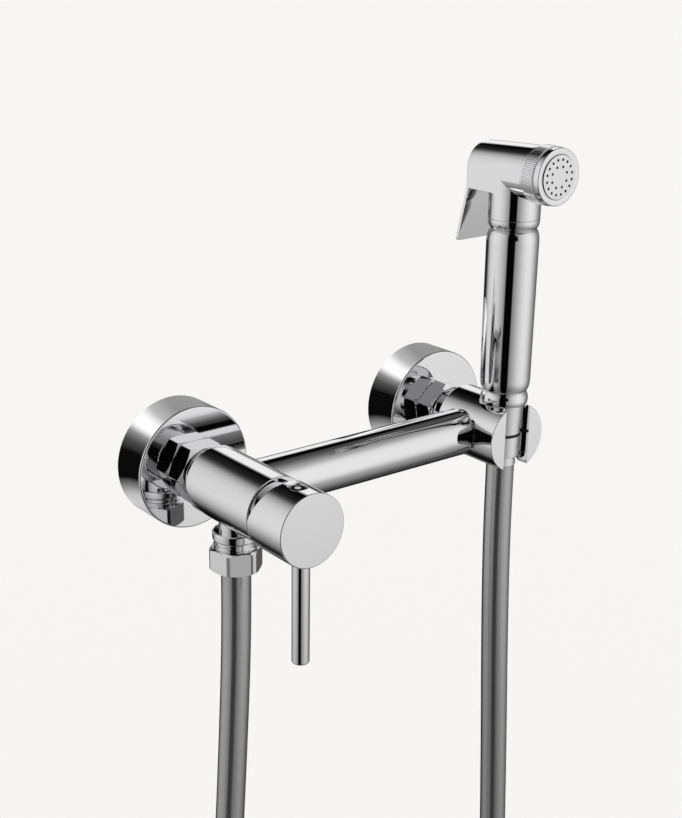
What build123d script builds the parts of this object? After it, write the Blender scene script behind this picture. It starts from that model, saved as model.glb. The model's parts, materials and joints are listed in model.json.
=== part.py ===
from build123d import *
import math
import os

# Wall-mounted bidet mixer: two wall inlets, a lever valve on the left, a crossbar to the
# hand spray's holder on the right, and a hanging hose from the valve's outlet to the hand spray.
# Millimetres. X runs along the wall, Z up, and the wall is the plane Y = 0 with the mixer at Y < 0.
# "Out" is a distance from the wall. Heights are from the mixer's own axis, which stands
# union_offset above the two wall inlets; the origin lies midway between those inlets.

# Gaps shared by all pieces
fit_clearance = 0.05
pin_clearance = 0.01
running_clearance = 0.05
thread_clearance = 0.08
seat_clearance = 0.3

# Wall inlets, eccentric unions and flanges
inlet_spacing = 150.0
union_offset = 8.0
pipe_thread_radius = 10.48
wall_thread_length = 16.0
union_bore = 7.0
union_body_radius = 12.0
union_wall_stub = 10.0
union_front_back = 2.8
union_front_stub = 10.2
union_web = 2.0
flange_radius = 29.7
flange_depth = 19.85
flange_wall = 1.6
flange_face = 2.0
flange_bevel = 0.9

# Union nuts, washers, strainers and inlet tails
nut_corner_radius = 15.5
right_nut_turn = -21.5
nut_back_gap = 0.25
nut_length = 10.2
nut_lip = 1.7
nut_seat_gap = 0.1
washer_thickness = 1.8
washer_bore = 6.2
strainer_thickness = 0.6
strainer_hole = 0.6
strainer_pitch = 2.1
tail_collar_radius = 9.3
tail_collar_length = 2.2
tail_neck_radius = 8.0
tail_boss_radius = 12.4
tail_bore = 5.5
spigot_radius = 9.0
spigot_length = 5.5

# Valve body
body_radius = 16.4
body_back = 37.6
body_front = 86.0
body_edge = 0.6
chamber_radius = 12.6
chamber_depth = 24.0
nut_thread_radius = 14.2
nut_thread_depth = 6.0
port_radius = 2.6
port_side = 4.5
port_up = 3.0
port_down = 5.5
feed_depth = 3.0

# Crossbar
bar_radius = 11.73
bar_out = 54.9
bar_bore = 8.0
bar_gap_to_block = 0.4
bar_end_gap = 0.2
bar_passage = 3.4

# Outlet below the valve body
outlet_out = 53.3
outlet_bore = 5.0
outlet_spigot_radius = 7.4
outlet_spigot_depth = 5.0
outlet_collar_radius = 10.7
outlet_collar_length = 7.7
outlet_collar_height = 4.8
outlet_collar_round = 1.6
outlet_collar_top_round = 0.9
outlet_waist_radius = 7.6
outlet_neck_length = 0.7
outlet_thread_radius = 10.2
outlet_thread_length = 6.4
outlet_seat_radius = 9.8
thread_pitch = 1.8
thread_depth = 0.8
thread_flank = 0.62
thread_crest = 0.36

# Hose nut under the outlet
hose_nut_corner_radius = 12.8
hose_nut_thread_shown = 2.7
hose_nut_length = 11.0
hose_nut_angle = 37.0
hose_nut_lip = 2.4
hose_washer_thickness = 1.8

# Hose
hose_radius = 7.0
hose_insert_bore = 4.2
hose_arc_share = 0.45

# Cartridge
housing_wall = 0.9
housing_floor = 2.8
housing_lip = 1.8
housing_clearance = 0.1
seal_squeeze = 1.2
seal_width = 1.3
disc_film = 0.05
fixed_disc_thickness = 3.0
moving_disc_radius = 7.5
moving_disc_thickness = 3.0
disc_pocket_radius = 3.7
disc_pocket_depth = 1.5
carrier_radius = 7.8
carrier_length = 7.2
rotor_gap = 0.3
rotor_flange_length = 2.4
rotor_flange_radius = 11.2
rotor_crown_radius = 9.2
rotor_crown_above_pivot = 3.5
crown_clearance = 0.4
retainer_crown_radius = 12.9
retainer_crown_length = 3.2
retainer_serrations = 48
serration_depth = 0.35
cover_ring_radius = 13.6
cover_ring_length = 2.0

# Lever handle, spindle and their pivot
pivot_ahead = 1.0
pivot_pin_radius = 1.5
pivot_pin_half = 8.5
spindle_side = 6.0
spindle_waist = 2.8
spindle_tip_radius = 2.2
spindle_arm = 10.0
tip_clearance = 0.15
flow_angle = 20.0
cap_radius = 16.9
cap_length = 24.2
cap_edge = 0.6
cap_cavity_radius = 14.2
cap_cavity_depth = 9.5
cap_back_slope = 22.0
socket_depth = 10.0
socket_clearance = 0.1
lever_radius = 4.0
lever_ahead = 16.0
lever_tip = 65.5
lever_tip_round = 1.0
lever_seat = 12.2
lever_stud_radius = 2.5
lever_stud_length = 4.0
screw_radius = 2.4
screw_ahead = 13.6
screw_length = 6.0
screw_key = 2.5
screw_recess_radius = 4.0
screw_recess_depth = 2.6
screw_rim = 0.7

# Holder block
holder_radius = 17.2
holder_back = 39.4
holder_front = 79.3
holder_edge = 0.4
shoulder_radius = 10.7
spigot_bar_length = 8.0
holder_passage = 3.0
holder_passage_out = 52.0
holder_feed_end = 54.8
slot_width = 16.0
socket_gap = 0.3
mouth_radius = 12.9
mouth_depth = 4.5
bar_ring_wire = 0.8
bar_ring_inset = 4.0

# Conical hose nut and hose end, under the hand spray
spray_out = 68.8
cone_top = 16.0
cone_top_radius = 9.95
cone_ring_top = 1.4
cone_ring_width = 1.6
cone_ring_radius = 9.15
cone_ring_sink = 0.2
cone_bottom = -11.0
cone_bottom_radius = 8.75
cone_groove_depth = 0.7
cone_thread_radius = 8.2
cone_seat = 2.2
cone_hole_radius = 6.9
ferrule_radius = 7.35
ferrule_length = 4.7
end_tube_radius = 6.6
end_collar_radius = 7.9
end_collar_length = 2.0
end_washer_thickness = 1.7

# Hand spray handle
spray_thread_radius = 8.1
end_piece_radius = 11.7
end_piece_length = 6.6
end_piece_bulge = 2.6
end_piece_edge = 0.5
waist_radius = 10.3
waist_gap = 0.1
end_spigot_radius = 9.0
end_spigot_length = 11.0
sleeve_length = 80.0
sleeve_bottom_radius = 12.25
sleeve_top_radius = 12.5
sleeve_round = 6.2
sleeve_bore = 10.6
sleeve_land = 1.0
tube_radius = 5.6
tube_bore = 4.6
tube_seat = 3.0

# Hand spray head; reaches are from the handle's axis
neck_rise = 27.4
neck_round = 4.2
neck_seam_rise = 5.0
neck_seam = 0.25
head_radius = 12.3
head_back_radius = 12.3
head_front_radius = 12.8
head_back_drop = 1.0
head_skirt_drop = 10.2
head_back_reach = 19.4
head_front_reach = 14.5
head_edge = 0.3
head_water_bore = 4.6
head_chamber_radius = 6.8
chamber_back_reach = 11.3
chamber_front_reach = 7.2
seat_bore = 3.4
seat_thickness = 2.0
nozzle_cavity_radius = 9.4
nozzle_thread_radius = 11.2
nozzle_thread_length = 8.0

# Trigger valve in the head
gland_radius = 7.5
gland_inset = 1.2
stem_radius = 2.0
stem_head_radius = 3.4
stem_head_length = 1.4
stem_head_round = 0.9
stem_head_gap = 0.3
stem_flange_radius = 5.4
stem_flange_thickness = 1.6
valve_seal_thickness = 2.4
valve_seal_gap = 0.3
gland_ring_wire = 0.9
spring_wire = 0.45
spring_radius = 4.4
spring_turns = 5.0
spring_gap = 0.2

# Trigger; drops are from the barrel's axis
trigger_gap = 0.4
trigger_thickness = 1.6
trigger_disc_radius = 11.6
trigger_disc_drop = 1.0
trigger_half_width = 11.4
trigger_bend_drop = 10.9
trigger_flare = 13.6
trigger_length = 26.4
trigger_corner = 1.2
trigger_slot_half = 2.3
trigger_slot_travel = 1.6
trigger_pin_radius = 0.9
trigger_pin_depth = 2.2
trigger_pin_drop = 10.7
trigger_pin_half = 5.6
trigger_lug_half = 2.5
trigger_lug_radius = 1.5
trigger_lug_gap = 0.3

# Nozzle ring and rose; lengths are from the barrel's front
nozzle_collar_radius = 12.9
nozzle_collar_length = 2.0
knurl_radius = 13.6
knurl_depth = 0.3
knurl_teeth = 96
knurl_length = 7.0
nozzle_groove_radius = 12.6
nozzle_groove_fade = 0.3
nozzle_rim_start = 9.7
nozzle_rim_radius = 13.2
nozzle_rim_edge = 0.5
nozzle_length = 12.5
nozzle_opening = 10.3
nozzle_lip = 1.7
rose_gap = 0.1
rose_rise = 0.4
rose_flange_radius = 11.0
rose_flange_thickness = 1.3
rose_gasket_thickness = 0.9
rose_hole = 0.55
rose_outer_circle = 8.0
rose_outer_count = 16
rose_inner_circle = 4.9
rose_inner_count = 8

# Points of the hanging hose between its two ends: (x, out, height), chosen by hand
hose_route = [
    (-75.0, 53.3, -68.5),
    (-77.8, 53.4, -126.4),
    (-82.7, 53.8, -202.3),
    (-87.5, 54.5, -284.1),
    (-89.2, 55.5, -354.1),
    (-84.5, 56.6, -402.9),
    (-71.7, 57.8, -439.0),
    (-48.1, 59.1, -465.6),
    (-16.5, 60.5, -479.7),
    (18.1, 61.9, -479.1),
    (49.4, 63.3, -464.2),
    (72.5, 64.6, -437.1),
    (85.2, 65.8, -400.1),
    (89.6, 66.9, -350.3),
    (87.8, 67.9, -278.3),
    (83.2, 68.5, -195.1),
    (77.8, 68.8, -111.9),
    (75.0, 68.8, -50.0),
]

# Places worked out from the sizes above
left = -inlet_spacing / 2
right = inlet_spacing / 2
nut_back = flange_depth + nut_back_gap
nut_front = nut_back + nut_length
lip_back = nut_front - nut_lip
collar_front = lip_back - nut_seat_gap
washer_front = collar_front - tail_collar_length
union_end = washer_front - washer_thickness
boss_back = nut_front + seat_clearance
chamber_floor = body_front - chamber_depth
bar_right = right - holder_radius - bar_gap_to_block
collar_bottom = body_radius + outlet_collar_length
outlet_thread_top = collar_bottom + outlet_neck_length
outlet_thread_bottom = outlet_thread_top + outlet_thread_length
hose_nut_top = outlet_thread_top + hose_nut_thread_shown
hose_nut_bottom = hose_nut_top + hose_nut_length
hose_tail_top = outlet_thread_bottom + hose_washer_thickness
floor_top = chamber_floor + seal_squeeze
housing_radius = chamber_radius - housing_clearance
housing_bore = housing_radius - housing_wall
housing_inside = floor_top + housing_floor
moving_back = housing_inside + fixed_disc_thickness + disc_film
carrier_back = moving_back + moving_disc_thickness
carrier_front = carrier_back + carrier_length
rotor_back = carrier_front + rotor_gap
rotor_shoulder = rotor_back + rotor_flange_length
lip_inner = rotor_shoulder + rotor_gap
housing_front = lip_inner + housing_lip
retainer_face = housing_front + fit_clearance
crown_bore = rotor_crown_radius + crown_clearance
crown_front = body_front + retainer_crown_length
pivot_out = body_front + pivot_ahead
tip_out = pivot_out - spindle_arm
rotor_front = pivot_out + rotor_crown_above_pivot
cap_back = pivot_out
cap_front = cap_back + cap_length
cavity_bottom = cap_back + cap_cavity_depth
socket_end = cavity_bottom + socket_depth
lever_out = pivot_out + lever_ahead
screw_out = pivot_out + screw_ahead
cone_ring_bottom = cone_ring_top - cone_ring_width
cone_slope = (cone_ring_radius - cone_bottom_radius) / (cone_ring_top - cone_bottom)
cone_ring_fall = cone_slope * cone_ring_width
cone_groove = cone_ring_radius - cone_groove_depth
ferrule_top = cone_bottom - seat_clearance
ferrule_bottom = ferrule_top - ferrule_length
end_collar_bottom = cone_seat + 2 * fit_clearance
end_collar_top = end_collar_bottom + end_collar_length
end_washer_bottom = end_collar_top + seat_clearance
end_washer_top = end_washer_bottom + end_washer_thickness
end_piece_bottom = cone_top + seat_clearance
end_piece_top = end_piece_bottom + end_piece_length
sleeve_bottom = end_piece_top + waist_gap
sleeve_top = sleeve_bottom + sleeve_length
end_spigot_top = sleeve_bottom + end_spigot_length
head_spigot_bottom = sleeve_top - end_spigot_length
tube_bottom = end_spigot_top - tube_seat
tube_top = head_spigot_bottom + tube_seat
head_height = sleeve_top + neck_rise
neck_seam_height = sleeve_top + neck_seam_rise
head_back = spray_out - head_back_reach
head_front = spray_out + head_front_reach
head_chamber_back = spray_out - chamber_back_reach
head_chamber_front = spray_out + chamber_front_reach
nozzle_thread_end = head_front + nozzle_thread_length
gland_back = head_back + gland_inset
gland_middle = (gland_back + head_chamber_back) / 2
gland_groove = stem_radius + 2 * gland_ring_wire
trigger_inner = head_back - trigger_gap
trigger_outer = trigger_inner - trigger_thickness
trigger_pin_out = head_back + trigger_pin_depth
trigger_pin_height = head_height - trigger_pin_drop
trigger_bend_height = head_height - trigger_bend_drop
seal_front = head_chamber_front - valve_seal_gap
seal_back = seal_front - valve_seal_thickness
stem_flange_back = seal_back - stem_flange_thickness
nozzle_face = head_front + nozzle_length
lip_start = nozzle_face - nozzle_lip
rose_back = lip_start - rose_flange_thickness

MIN_UP = (Align.CENTER, Align.CENTER, Align.MIN)


def bar_from_wall(x, z, radius, near, far):
    """Round bar square to the wall, from one distance out to a larger one."""
    return Pos(x, -near, z) * Rot(90, 0, 0) * Cylinder(radius, far - near, align=MIN_UP)


def bar_up(x, out, radius, low, high):
    """Upright round bar between two heights."""
    return Pos(x, -out, low) * Cylinder(radius, high - low, align=MIN_UP)


def bar_along(out, z, radius, from_x, to_x):
    """Round bar parallel to the wall and level."""
    return Pos(from_x, -out, z) * Rot(0, 90, 0) * Cylinder(radius, to_x - from_x, align=MIN_UP)


def block(x, z, width, height, near, far):
    """Rectangular bar square to the wall, centred on x and z."""
    return Pos(x, -(near + far) / 2, z) * Box(width, far - near, height)


def turned(points):
    """Solid of revolution about Z from (radius, height) points."""
    outline = Polyline(*[(r, 0, h) for r, h in points], close=True)
    return revolve(make_face(outline), Axis.Z)


def turned_from_wall(x, z, points):
    """Solid of revolution square to the wall from (radius, out) points."""
    return Pos(x, 0, z) * Rot(90, 0, 0) * turned(points)


def turned_up(x, out, points):
    """Solid of revolution about an upright axis from (radius, height) points."""
    return Pos(x, -out, 0) * turned(points)


def turned_outline(x, out, *edges):
    """Solid of revolution about an upright axis from edges drawn as (radius, height)."""
    face = make_face(Curve() + list(edges))
    return Pos(x, -out, 0) * Rot(90, 0, 0) * revolve(face, Axis.Y)


def ring(inner, outer, low, high):
    """Points of a plain ring's section."""
    return [(inner, low), (outer, low), (outer, high), (inner, high)]


def hexagon(corner_radius, length):
    """Hexagonal bar standing on the origin, its corners turned off at both ends."""
    flat = corner_radius * math.cos(math.pi / 6)
    fall = (corner_radius - flat) * math.tan(math.radians(30))
    envelope = turned([
        (0, 0),
        (flat, 0),
        (corner_radius, fall),
        (corner_radius, length - fall),
        (flat, length),
        (0, length),
    ])
    return extrude(RegularPolygon(corner_radius, 6), length) & envelope


def toothed(radius, depth, teeth, length):
    """Bar standing on the origin with straight V teeth round its side."""
    corners = []
    for i in range(2 * teeth):
        r = radius if i % 2 == 0 else radius - depth
        a = math.pi * i / teeth
        corners.append((r * math.cos(a), r * math.sin(a)))
    return extrude(make_face(Polyline(*corners, close=True)), length)


def seat_out(x, z, out, solid):
    """Lays a solid made about Z on its axis square to the wall, its foot at a distance out."""
    return Pos(x, -out, z) * Rot(90, 0, 0) * solid


def write(name, solid):
    """Lifts a piece from the mixer's axis to the wall inlets' origin and writes it."""
    export_step(Pos(0, 0, union_offset) * solid, f"parts/{name}.step")


# Wall side

def wall_flange(x):
    hole = pipe_thread_radius + seat_clearance
    inner = flange_radius - flange_wall
    return turned_from_wall(x, 0, [
        (flange_radius, 0),
        (flange_radius, flange_depth - flange_bevel),
        (flange_radius - flange_bevel, flange_depth),
        (hole, flange_depth),
        (hole, flange_depth - flange_face),
        (inner, flange_depth - flange_face),
        (inner, 0),
    ])


def s_union(x):
    """Eccentric union: its wall thread lies union_offset below the mixer's axis."""
    low = -union_offset
    front_end = union_front_back + union_front_stub
    body = bar_from_wall(x, low, pipe_thread_radius, -wall_thread_length, 0)
    body += bar_from_wall(x, low, union_body_radius, 0, union_wall_stub)
    body += bar_from_wall(x, 0, union_body_radius, union_front_back, front_end)
    body += bar_from_wall(x, 0, pipe_thread_radius, front_end, union_end)
    body -= bar_from_wall(x, low, union_bore, -wall_thread_length, union_wall_stub - union_web)
    body -= bar_from_wall(x, 0, union_bore, union_front_back + union_web, union_end)
    return body


def union_nut(x, turn):
    """Union nut, turned on its axis as it was tightened."""
    nut = seat_out(x, 0, nut_back, Rot(0, 0, turn) * hexagon(nut_corner_radius, nut_length))
    nut -= bar_from_wall(x, 0, pipe_thread_radius + thread_clearance, nut_back, lip_back)
    nut -= bar_from_wall(x, 0, tail_neck_radius + seat_clearance, lip_back, nut_front)
    return nut


def inlet_washer(x):
    return turned_from_wall(x, 0, ring(washer_bore, tail_collar_radius, union_end, washer_front))


def inlet_strainer(x):
    """Perforated disc that the washer holds."""
    disc = Cylinder(washer_bore - fit_clearance, strainer_thickness, align=MIN_UP)
    disc -= Cylinder(strainer_hole, strainer_thickness, align=MIN_UP)
    for turn in (1, 2):
        count = 6 * turn
        for i in range(count):
            a = 2 * math.pi * i / count
            px = turn * strainer_pitch * math.cos(a)
            py = turn * strainer_pitch * math.sin(a)
            disc -= Pos(px, py, 0) * Cylinder(strainer_hole, strainer_thickness, align=MIN_UP)
    return seat_out(x, 0, union_end, disc)


def inlet_tail(x, casting_back):
    """Collared tail that the union nut pulls to the union, with the boss that meets the casting."""
    return turned_from_wall(x, 0, [
        (tail_bore, washer_front),
        (tail_collar_radius, washer_front),
        (tail_collar_radius, collar_front),
        (tail_neck_radius, collar_front),
        (tail_neck_radius, boss_back),
        (tail_boss_radius, boss_back),
        (tail_boss_radius, casting_back),
        (spigot_radius, casting_back),
        (spigot_radius, casting_back + spigot_length),
        (tail_bore, casting_back + spigot_length),
    ])


# Valve body and crossbar

def ports(back, front):
    """Hot, cold and mixed-water ways along the cartridge's axis."""
    hot = bar_from_wall(left - port_side, port_up, port_radius, back, front)
    cold = bar_from_wall(left + port_side, port_up, port_radius, back, front)
    mixed = bar_from_wall(left, -port_down, port_radius, back, front)
    return hot, cold, mixed


def valve_body():
    body = turned_from_wall(left, 0, [
        (0, body_back),
        (body_radius - body_edge, body_back),
        (body_radius, body_back + body_edge),
        (body_radius, body_front - body_edge),
        (body_radius - body_edge, body_front),
        (0, body_front),
    ])
    spigot_end = body_back + spigot_length + fit_clearance
    body -= bar_from_wall(left, 0, spigot_radius + fit_clearance, body_back, spigot_end)
    body -= bar_from_wall(left, 0, tail_bore, spigot_end, spigot_end + feed_depth)
    body -= bar_from_wall(left, 0, chamber_radius, chamber_floor, body_front)
    body -= bar_from_wall(left, 0, nut_thread_radius, body_front - nut_thread_depth, body_front)
    body -= ports(spigot_end, chamber_floor)[0]
    body -= ports(bar_out - bar_passage, chamber_floor)[1]
    body -= ports(outlet_out, chamber_floor)[2]
    body -= bar_along(bar_out, port_up, bar_passage, left + port_side, left + body_radius)
    spigot_top = outlet_spigot_depth - body_radius
    body -= bar_up(left, outlet_out, outlet_spigot_radius + fit_clearance, -body_radius, spigot_top)
    return body - bar_up(left, outlet_out, outlet_bore, spigot_top, -port_down)


def crossbar():
    bar = bar_along(bar_out, 0, bar_radius, left, bar_right)
    bar -= bar_along(bar_out, 0, bar_bore, left, bar_right)
    return bar - bar_from_wall(left, 0, body_radius, body_back, body_front)


def bar_seal():
    """O-ring in the spigot that the crossbar slides over."""
    wire_ring = Torus(bar_bore - bar_ring_wire - fit_clearance, bar_ring_wire)
    return Pos(bar_right - bar_ring_inset, -bar_out, 0) * Rot(0, 90, 0) * wire_ring


# Outlet and hose nut

def outlet_nipple():
    """Waist under the body, then a rounded collar and the male thread, shown as rings."""
    spigot_top = outlet_spigot_depth - body_radius - fit_clearance
    collar_top = collar_bottom - outlet_collar_height
    collar = bar_up(left, outlet_out, outlet_collar_radius, -collar_bottom, -collar_top)
    collar = fillet(collar.edges().group_by(Axis.Z)[0], outlet_collar_round)
    collar = fillet(collar.edges().group_by(Axis.Z)[-1], outlet_collar_top_round)
    collar += bar_up(left, outlet_out, outlet_waist_radius, -collar_top, spigot_top)
    collar -= bar_up(left, outlet_out, outlet_bore, -collar_bottom, spigot_top)
    collar -= bar_from_wall(left, 0, body_radius, body_back, body_front)
    root = outlet_thread_radius - thread_depth
    middle = (collar_top + collar_bottom) / 2
    profile = [
        (outlet_bore, spigot_top),
        (outlet_spigot_radius, spigot_top),
        (outlet_spigot_radius, -middle),
        (root, -middle),
    ]
    for i in range(int(outlet_thread_length / thread_pitch)):
        top = -outlet_thread_top - i * thread_pitch
        profile.append((root, top))
        profile.append((outlet_thread_radius, top - thread_flank))
        profile.append((outlet_thread_radius, top - thread_flank - thread_crest))
        profile.append((root, top - 2 * thread_flank - thread_crest))
    profile.append((root, -outlet_thread_bottom))
    profile.append((outlet_bore, -outlet_thread_bottom))
    return collar + turned_up(left, outlet_out, profile)


def hose_nut():
    nut = hexagon(hose_nut_corner_radius, hose_nut_length)
    nut = Pos(left, -outlet_out, -hose_nut_bottom) * Rot(0, 0, hose_nut_angle) * nut
    lip_top = hose_nut_lip - hose_nut_bottom
    nut -= bar_up(left, outlet_out, outlet_thread_radius + thread_clearance, lip_top, -hose_nut_top)
    return nut - bar_up(left, outlet_out, hose_radius + seat_clearance, -hose_nut_bottom, lip_top)


def outlet_washer():
    return turned_up(
        left, outlet_out, ring(outlet_bore, outlet_seat_radius, -hose_tail_top, -outlet_thread_bottom)
    )


def outlet_hose_tail():
    """Collared insert that the hex nut presses to the washer."""
    lip_top = hose_nut_lip - hose_nut_bottom + fit_clearance
    return turned_up(left, outlet_out, [
        (hose_insert_bore, -hose_tail_top),
        (outlet_seat_radius, -hose_tail_top),
        (outlet_seat_radius, lip_top),
        (hose_radius, lip_top),
        (hose_radius, -hose_nut_bottom),
        (hose_insert_bore, -hose_nut_bottom),
    ])


def hose():
    """One hose of about a metre, hanging in a loop from the hex nut to the hand spray's hose end."""
    points = [Vector(left, -outlet_out, -hose_nut_bottom)]
    points += [Vector(x, -out, h) for x, out, h in hose_route]
    points.append(Vector(right, -spray_out, ferrule_bottom))
    radii = []
    for before, here, after in zip(points, points[1:], points[2:]):
        turn = math.radians((here - before).get_angle(after - here))
        run = min((here - before).length, (after - here).length)
        radii.append(hose_arc_share * run / math.tan(turn / 2))
    path = FilletPolyline(*points, radius=radii)
    tube = sweep((path ^ 0) * Circle(hose_radius), path=path)
    print("hose radii", [round(r) for r in radii])
    share = tube.volume / (path.length * math.pi * hose_radius ** 2)
    print("hose length", round(path.length, 1), "volume ratio", share)
    return tube


# Cartridge

def cartridge_housing():
    shell = bar_from_wall(left, 0, housing_radius, floor_top, housing_front)
    shell -= bar_from_wall(left, 0, housing_bore, housing_inside, lip_inner)
    shell -= bar_from_wall(left, 0, crown_bore, lip_inner, housing_front)
    for port in ports(floor_top, housing_inside):
        shell -= port
    return shell


def base_seals():
    """Three seal rings between the housing's floor and the body's, one round each port."""
    places = ((left - port_side, port_up), (left + port_side, port_up), (left, -port_down))
    section = ring(port_radius, port_radius + seal_width, chamber_floor, floor_top)
    return Compound(children=[turned_from_wall(x, z, section) for x, z in places])


def fixed_disc():
    disc_front = housing_inside + fixed_disc_thickness
    disc = bar_from_wall(left, 0, housing_bore - fit_clearance, housing_inside, disc_front)
    for port in ports(housing_inside, disc_front):
        disc -= port
    return disc


def moving_disc():
    """Ceramic disc with the mixing pocket on its sliding face."""
    disc = bar_from_wall(left, 0, moving_disc_radius, moving_back, carrier_back)
    return disc - bar_from_wall(left, 0, disc_pocket_radius, moving_back, moving_back + disc_pocket_depth)


def disc_carrier():
    """Holds the moving disc and is driven by the spindle's tip in its slot."""
    carrier = bar_from_wall(left, 0, carrier_radius, carrier_back, carrier_front)
    slot_half = spindle_tip_radius + tip_clearance
    width = spindle_side + 2 * tip_clearance
    return carrier - block(left, 0, width, 2 * slot_half, tip_out - slot_half, carrier_front)


def cartridge_rotor():
    """Turns with the lever and carries the pivot pin in its crown."""
    rotor = bar_from_wall(left, 0, rotor_flange_radius, rotor_back, rotor_shoulder)
    rotor += bar_from_wall(left, 0, rotor_crown_radius, rotor_shoulder, rotor_front)
    tilt = math.radians(flow_angle)
    half = spindle_side / 2 / math.cos(tilt) + tip_clearance
    low = half + (pivot_out - rotor_back) * math.tan(tilt)
    high = half + (rotor_front - pivot_out) * math.tan(tilt)
    width = spindle_side + 2 * tip_clearance
    rotor -= block(left, (high - low) / 2, width, low + high, rotor_back, rotor_front)
    hole = pivot_pin_radius + pin_clearance
    return rotor - bar_along(pivot_out, 0, hole, left - rotor_crown_radius, left + rotor_crown_radius)


def pivot_pin():
    return bar_along(pivot_out, 0, pivot_pin_radius, left - pivot_pin_half, left + pivot_pin_half)


def retaining_nut():
    """Screws into the body over the housing; its serrated crown shows behind the lever's cap."""
    thread_back = body_front - nut_thread_depth
    crown = toothed(retainer_crown_radius, serration_depth, retainer_serrations, retainer_crown_length)
    nut = seat_out(left, 0, body_front, crown)
    thread = nut_thread_radius - thread_clearance
    nut += bar_from_wall(left, 0, thread, thread_back + fit_clearance, body_front)
    nut -= bar_from_wall(left, 0, housing_radius + fit_clearance, thread_back, retainer_face)
    return nut - bar_from_wall(left, 0, crown_bore, retainer_face, crown_front)


def cover_ring():
    inner = retainer_crown_radius + fit_clearance
    low = body_front + fit_clearance
    return turned_from_wall(left, 0, ring(inner, cover_ring_radius, low, low + cover_ring_length))


# Lever

def spindle():
    """Square bar on the pivot pin, with a round tip that drives the disc carrier."""
    half = spindle_side / 2
    waist_end = rotor_back + half * math.tan(math.radians(flow_angle))
    bar = block(left, 0, spindle_side, spindle_side, waist_end, socket_end)
    bar += block(left, 0, spindle_side, spindle_waist, tip_out, waist_end)
    bar += bar_along(tip_out, 0, spindle_tip_radius, left - half, left + half)
    return bar - bar_along(pivot_out, 0, pivot_pin_radius + running_clearance, left - half, left + half)


def handle_cap():
    """Round cap whose back slopes away above its middle, so that it can tip towards the body."""
    cap = turned_from_wall(left, 0, [
        (0, cap_back),
        (cap_radius, cap_back),
        (cap_radius, cap_front - cap_edge),
        (cap_radius - cap_edge, cap_front),
        (0, cap_front),
    ])
    cap -= bar_from_wall(left, 0, cap_cavity_radius, cap_back, cavity_bottom)
    rise = 2 * cap_radius
    wedge = Box(2 * rise, rise, rise, align=(Align.CENTER, Align.MIN, Align.MIN))
    cap -= Pos(left, -cap_back, 0) * Rot(cap_back_slope, 0, 0) * wedge
    side = spindle_side + 2 * socket_clearance
    cap -= block(left, 0, side, side, cavity_bottom, socket_end)
    cap -= bar_up(left, lever_out, lever_radius + fit_clearance, -cap_radius, -lever_seat)
    stud_top = lever_stud_length - lever_seat
    cap -= bar_up(left, lever_out, lever_stud_radius + fit_clearance, -lever_seat, stud_top)
    cap -= bar_up(left, screw_out, screw_radius + fit_clearance, 0, cap_radius)
    floor = cap_radius - screw_recess_depth
    return cap - turned_up(left, screw_out, [
        (0, floor),
        (screw_recess_radius, floor),
        (screw_recess_radius, cap_radius - 2 * screw_rim),
        (screw_recess_radius + screw_rim, cap_radius),
        (0, cap_radius),
    ])


def lever_rod():
    stud_top = lever_stud_length - lever_seat - fit_clearance
    rod = bar_up(left, lever_out, lever_radius, -lever_tip, -lever_seat)
    rod = fillet(rod.edges().group_by(Axis.Z)[0], lever_tip_round)
    return rod + bar_up(left, lever_out, lever_stud_radius, -lever_seat, stud_top)


def grub_screw():
    """Hexagon-socket screw that holds the cap on the spindle."""
    foot = spindle_side / 2 + fit_clearance
    screw = bar_up(left, screw_out, screw_radius, foot, foot + screw_length)
    key = extrude(RegularPolygon(screw_key / math.sqrt(3), 6), screw_length / 2)
    return screw - Pos(left, -screw_out, foot + screw_length / 2) * key


# Holder block

def holder_block():
    """Casting at the crossbar's right end with the conical socket and its front slot."""
    casting = turned_from_wall(right, 0, [
        (0, holder_back),
        (holder_radius - body_edge, holder_back),
        (holder_radius, holder_back + body_edge),
        (holder_radius, holder_front - holder_edge),
        (holder_radius - holder_edge, holder_front),
        (0, holder_front),
    ])
    shoulder_face = bar_right + bar_end_gap
    casting += bar_along(bar_out, 0, shoulder_radius, shoulder_face, right - holder_radius / 2)
    spigot_radius_in_bar = bar_bore - fit_clearance
    spigot = bar_along(bar_out, 0, spigot_radius_in_bar, bar_right - spigot_bar_length, shoulder_face)
    groove_x = bar_right - bar_ring_inset
    groove = Pos(groove_x, -bar_out, 0) * Rot(0, 90, 0) * Cylinder(bar_bore, 2 * bar_ring_wire)
    core = spigot_radius_in_bar - 2 * bar_ring_wire
    groove -= bar_along(bar_out, 0, core, groove_x - bar_ring_wire, groove_x + bar_ring_wire)
    casting += spigot - groove
    spigot_end = holder_back + spigot_length + fit_clearance
    casting -= bar_from_wall(right, 0, spigot_radius + fit_clearance, holder_back, spigot_end)
    casting -= bar_from_wall(right, 0, tail_bore, spigot_end, holder_feed_end)
    casting -= bar_along(holder_passage_out, 0, holder_passage, bar_right - spigot_bar_length, right)
    top = holder_radius
    casting -= turned_up(right, spray_out, [
        (0, top),
        (mouth_radius, top),
        (cone_top_radius + socket_gap, top - mouth_depth),
        (cone_ring_radius + socket_gap, cone_ring_top),
        (cone_bottom_radius + socket_gap, cone_bottom),
        (cone_bottom_radius + socket_gap, -top),
        (0, -top),
    ])
    return casting - block(right, 0, slot_width, 2 * top, spray_out, holder_front)


# Hose end and conical nut

def cone_nut():
    """Conical nut that hangs in the holder and screws to the hand spray."""
    return turned_up(right, spray_out, [
        (cone_thread_radius, cone_top),
        (cone_top_radius, cone_top),
        (cone_ring_radius, cone_ring_top),
        (cone_groove, cone_ring_top),
        (cone_groove, cone_ring_bottom),
        (cone_ring_radius - cone_ring_fall, cone_ring_bottom),
        (cone_bottom_radius, cone_bottom),
        (cone_hole_radius, cone_bottom),
        (cone_hole_radius, cone_seat),
        (cone_thread_radius, cone_seat),
    ])


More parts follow.
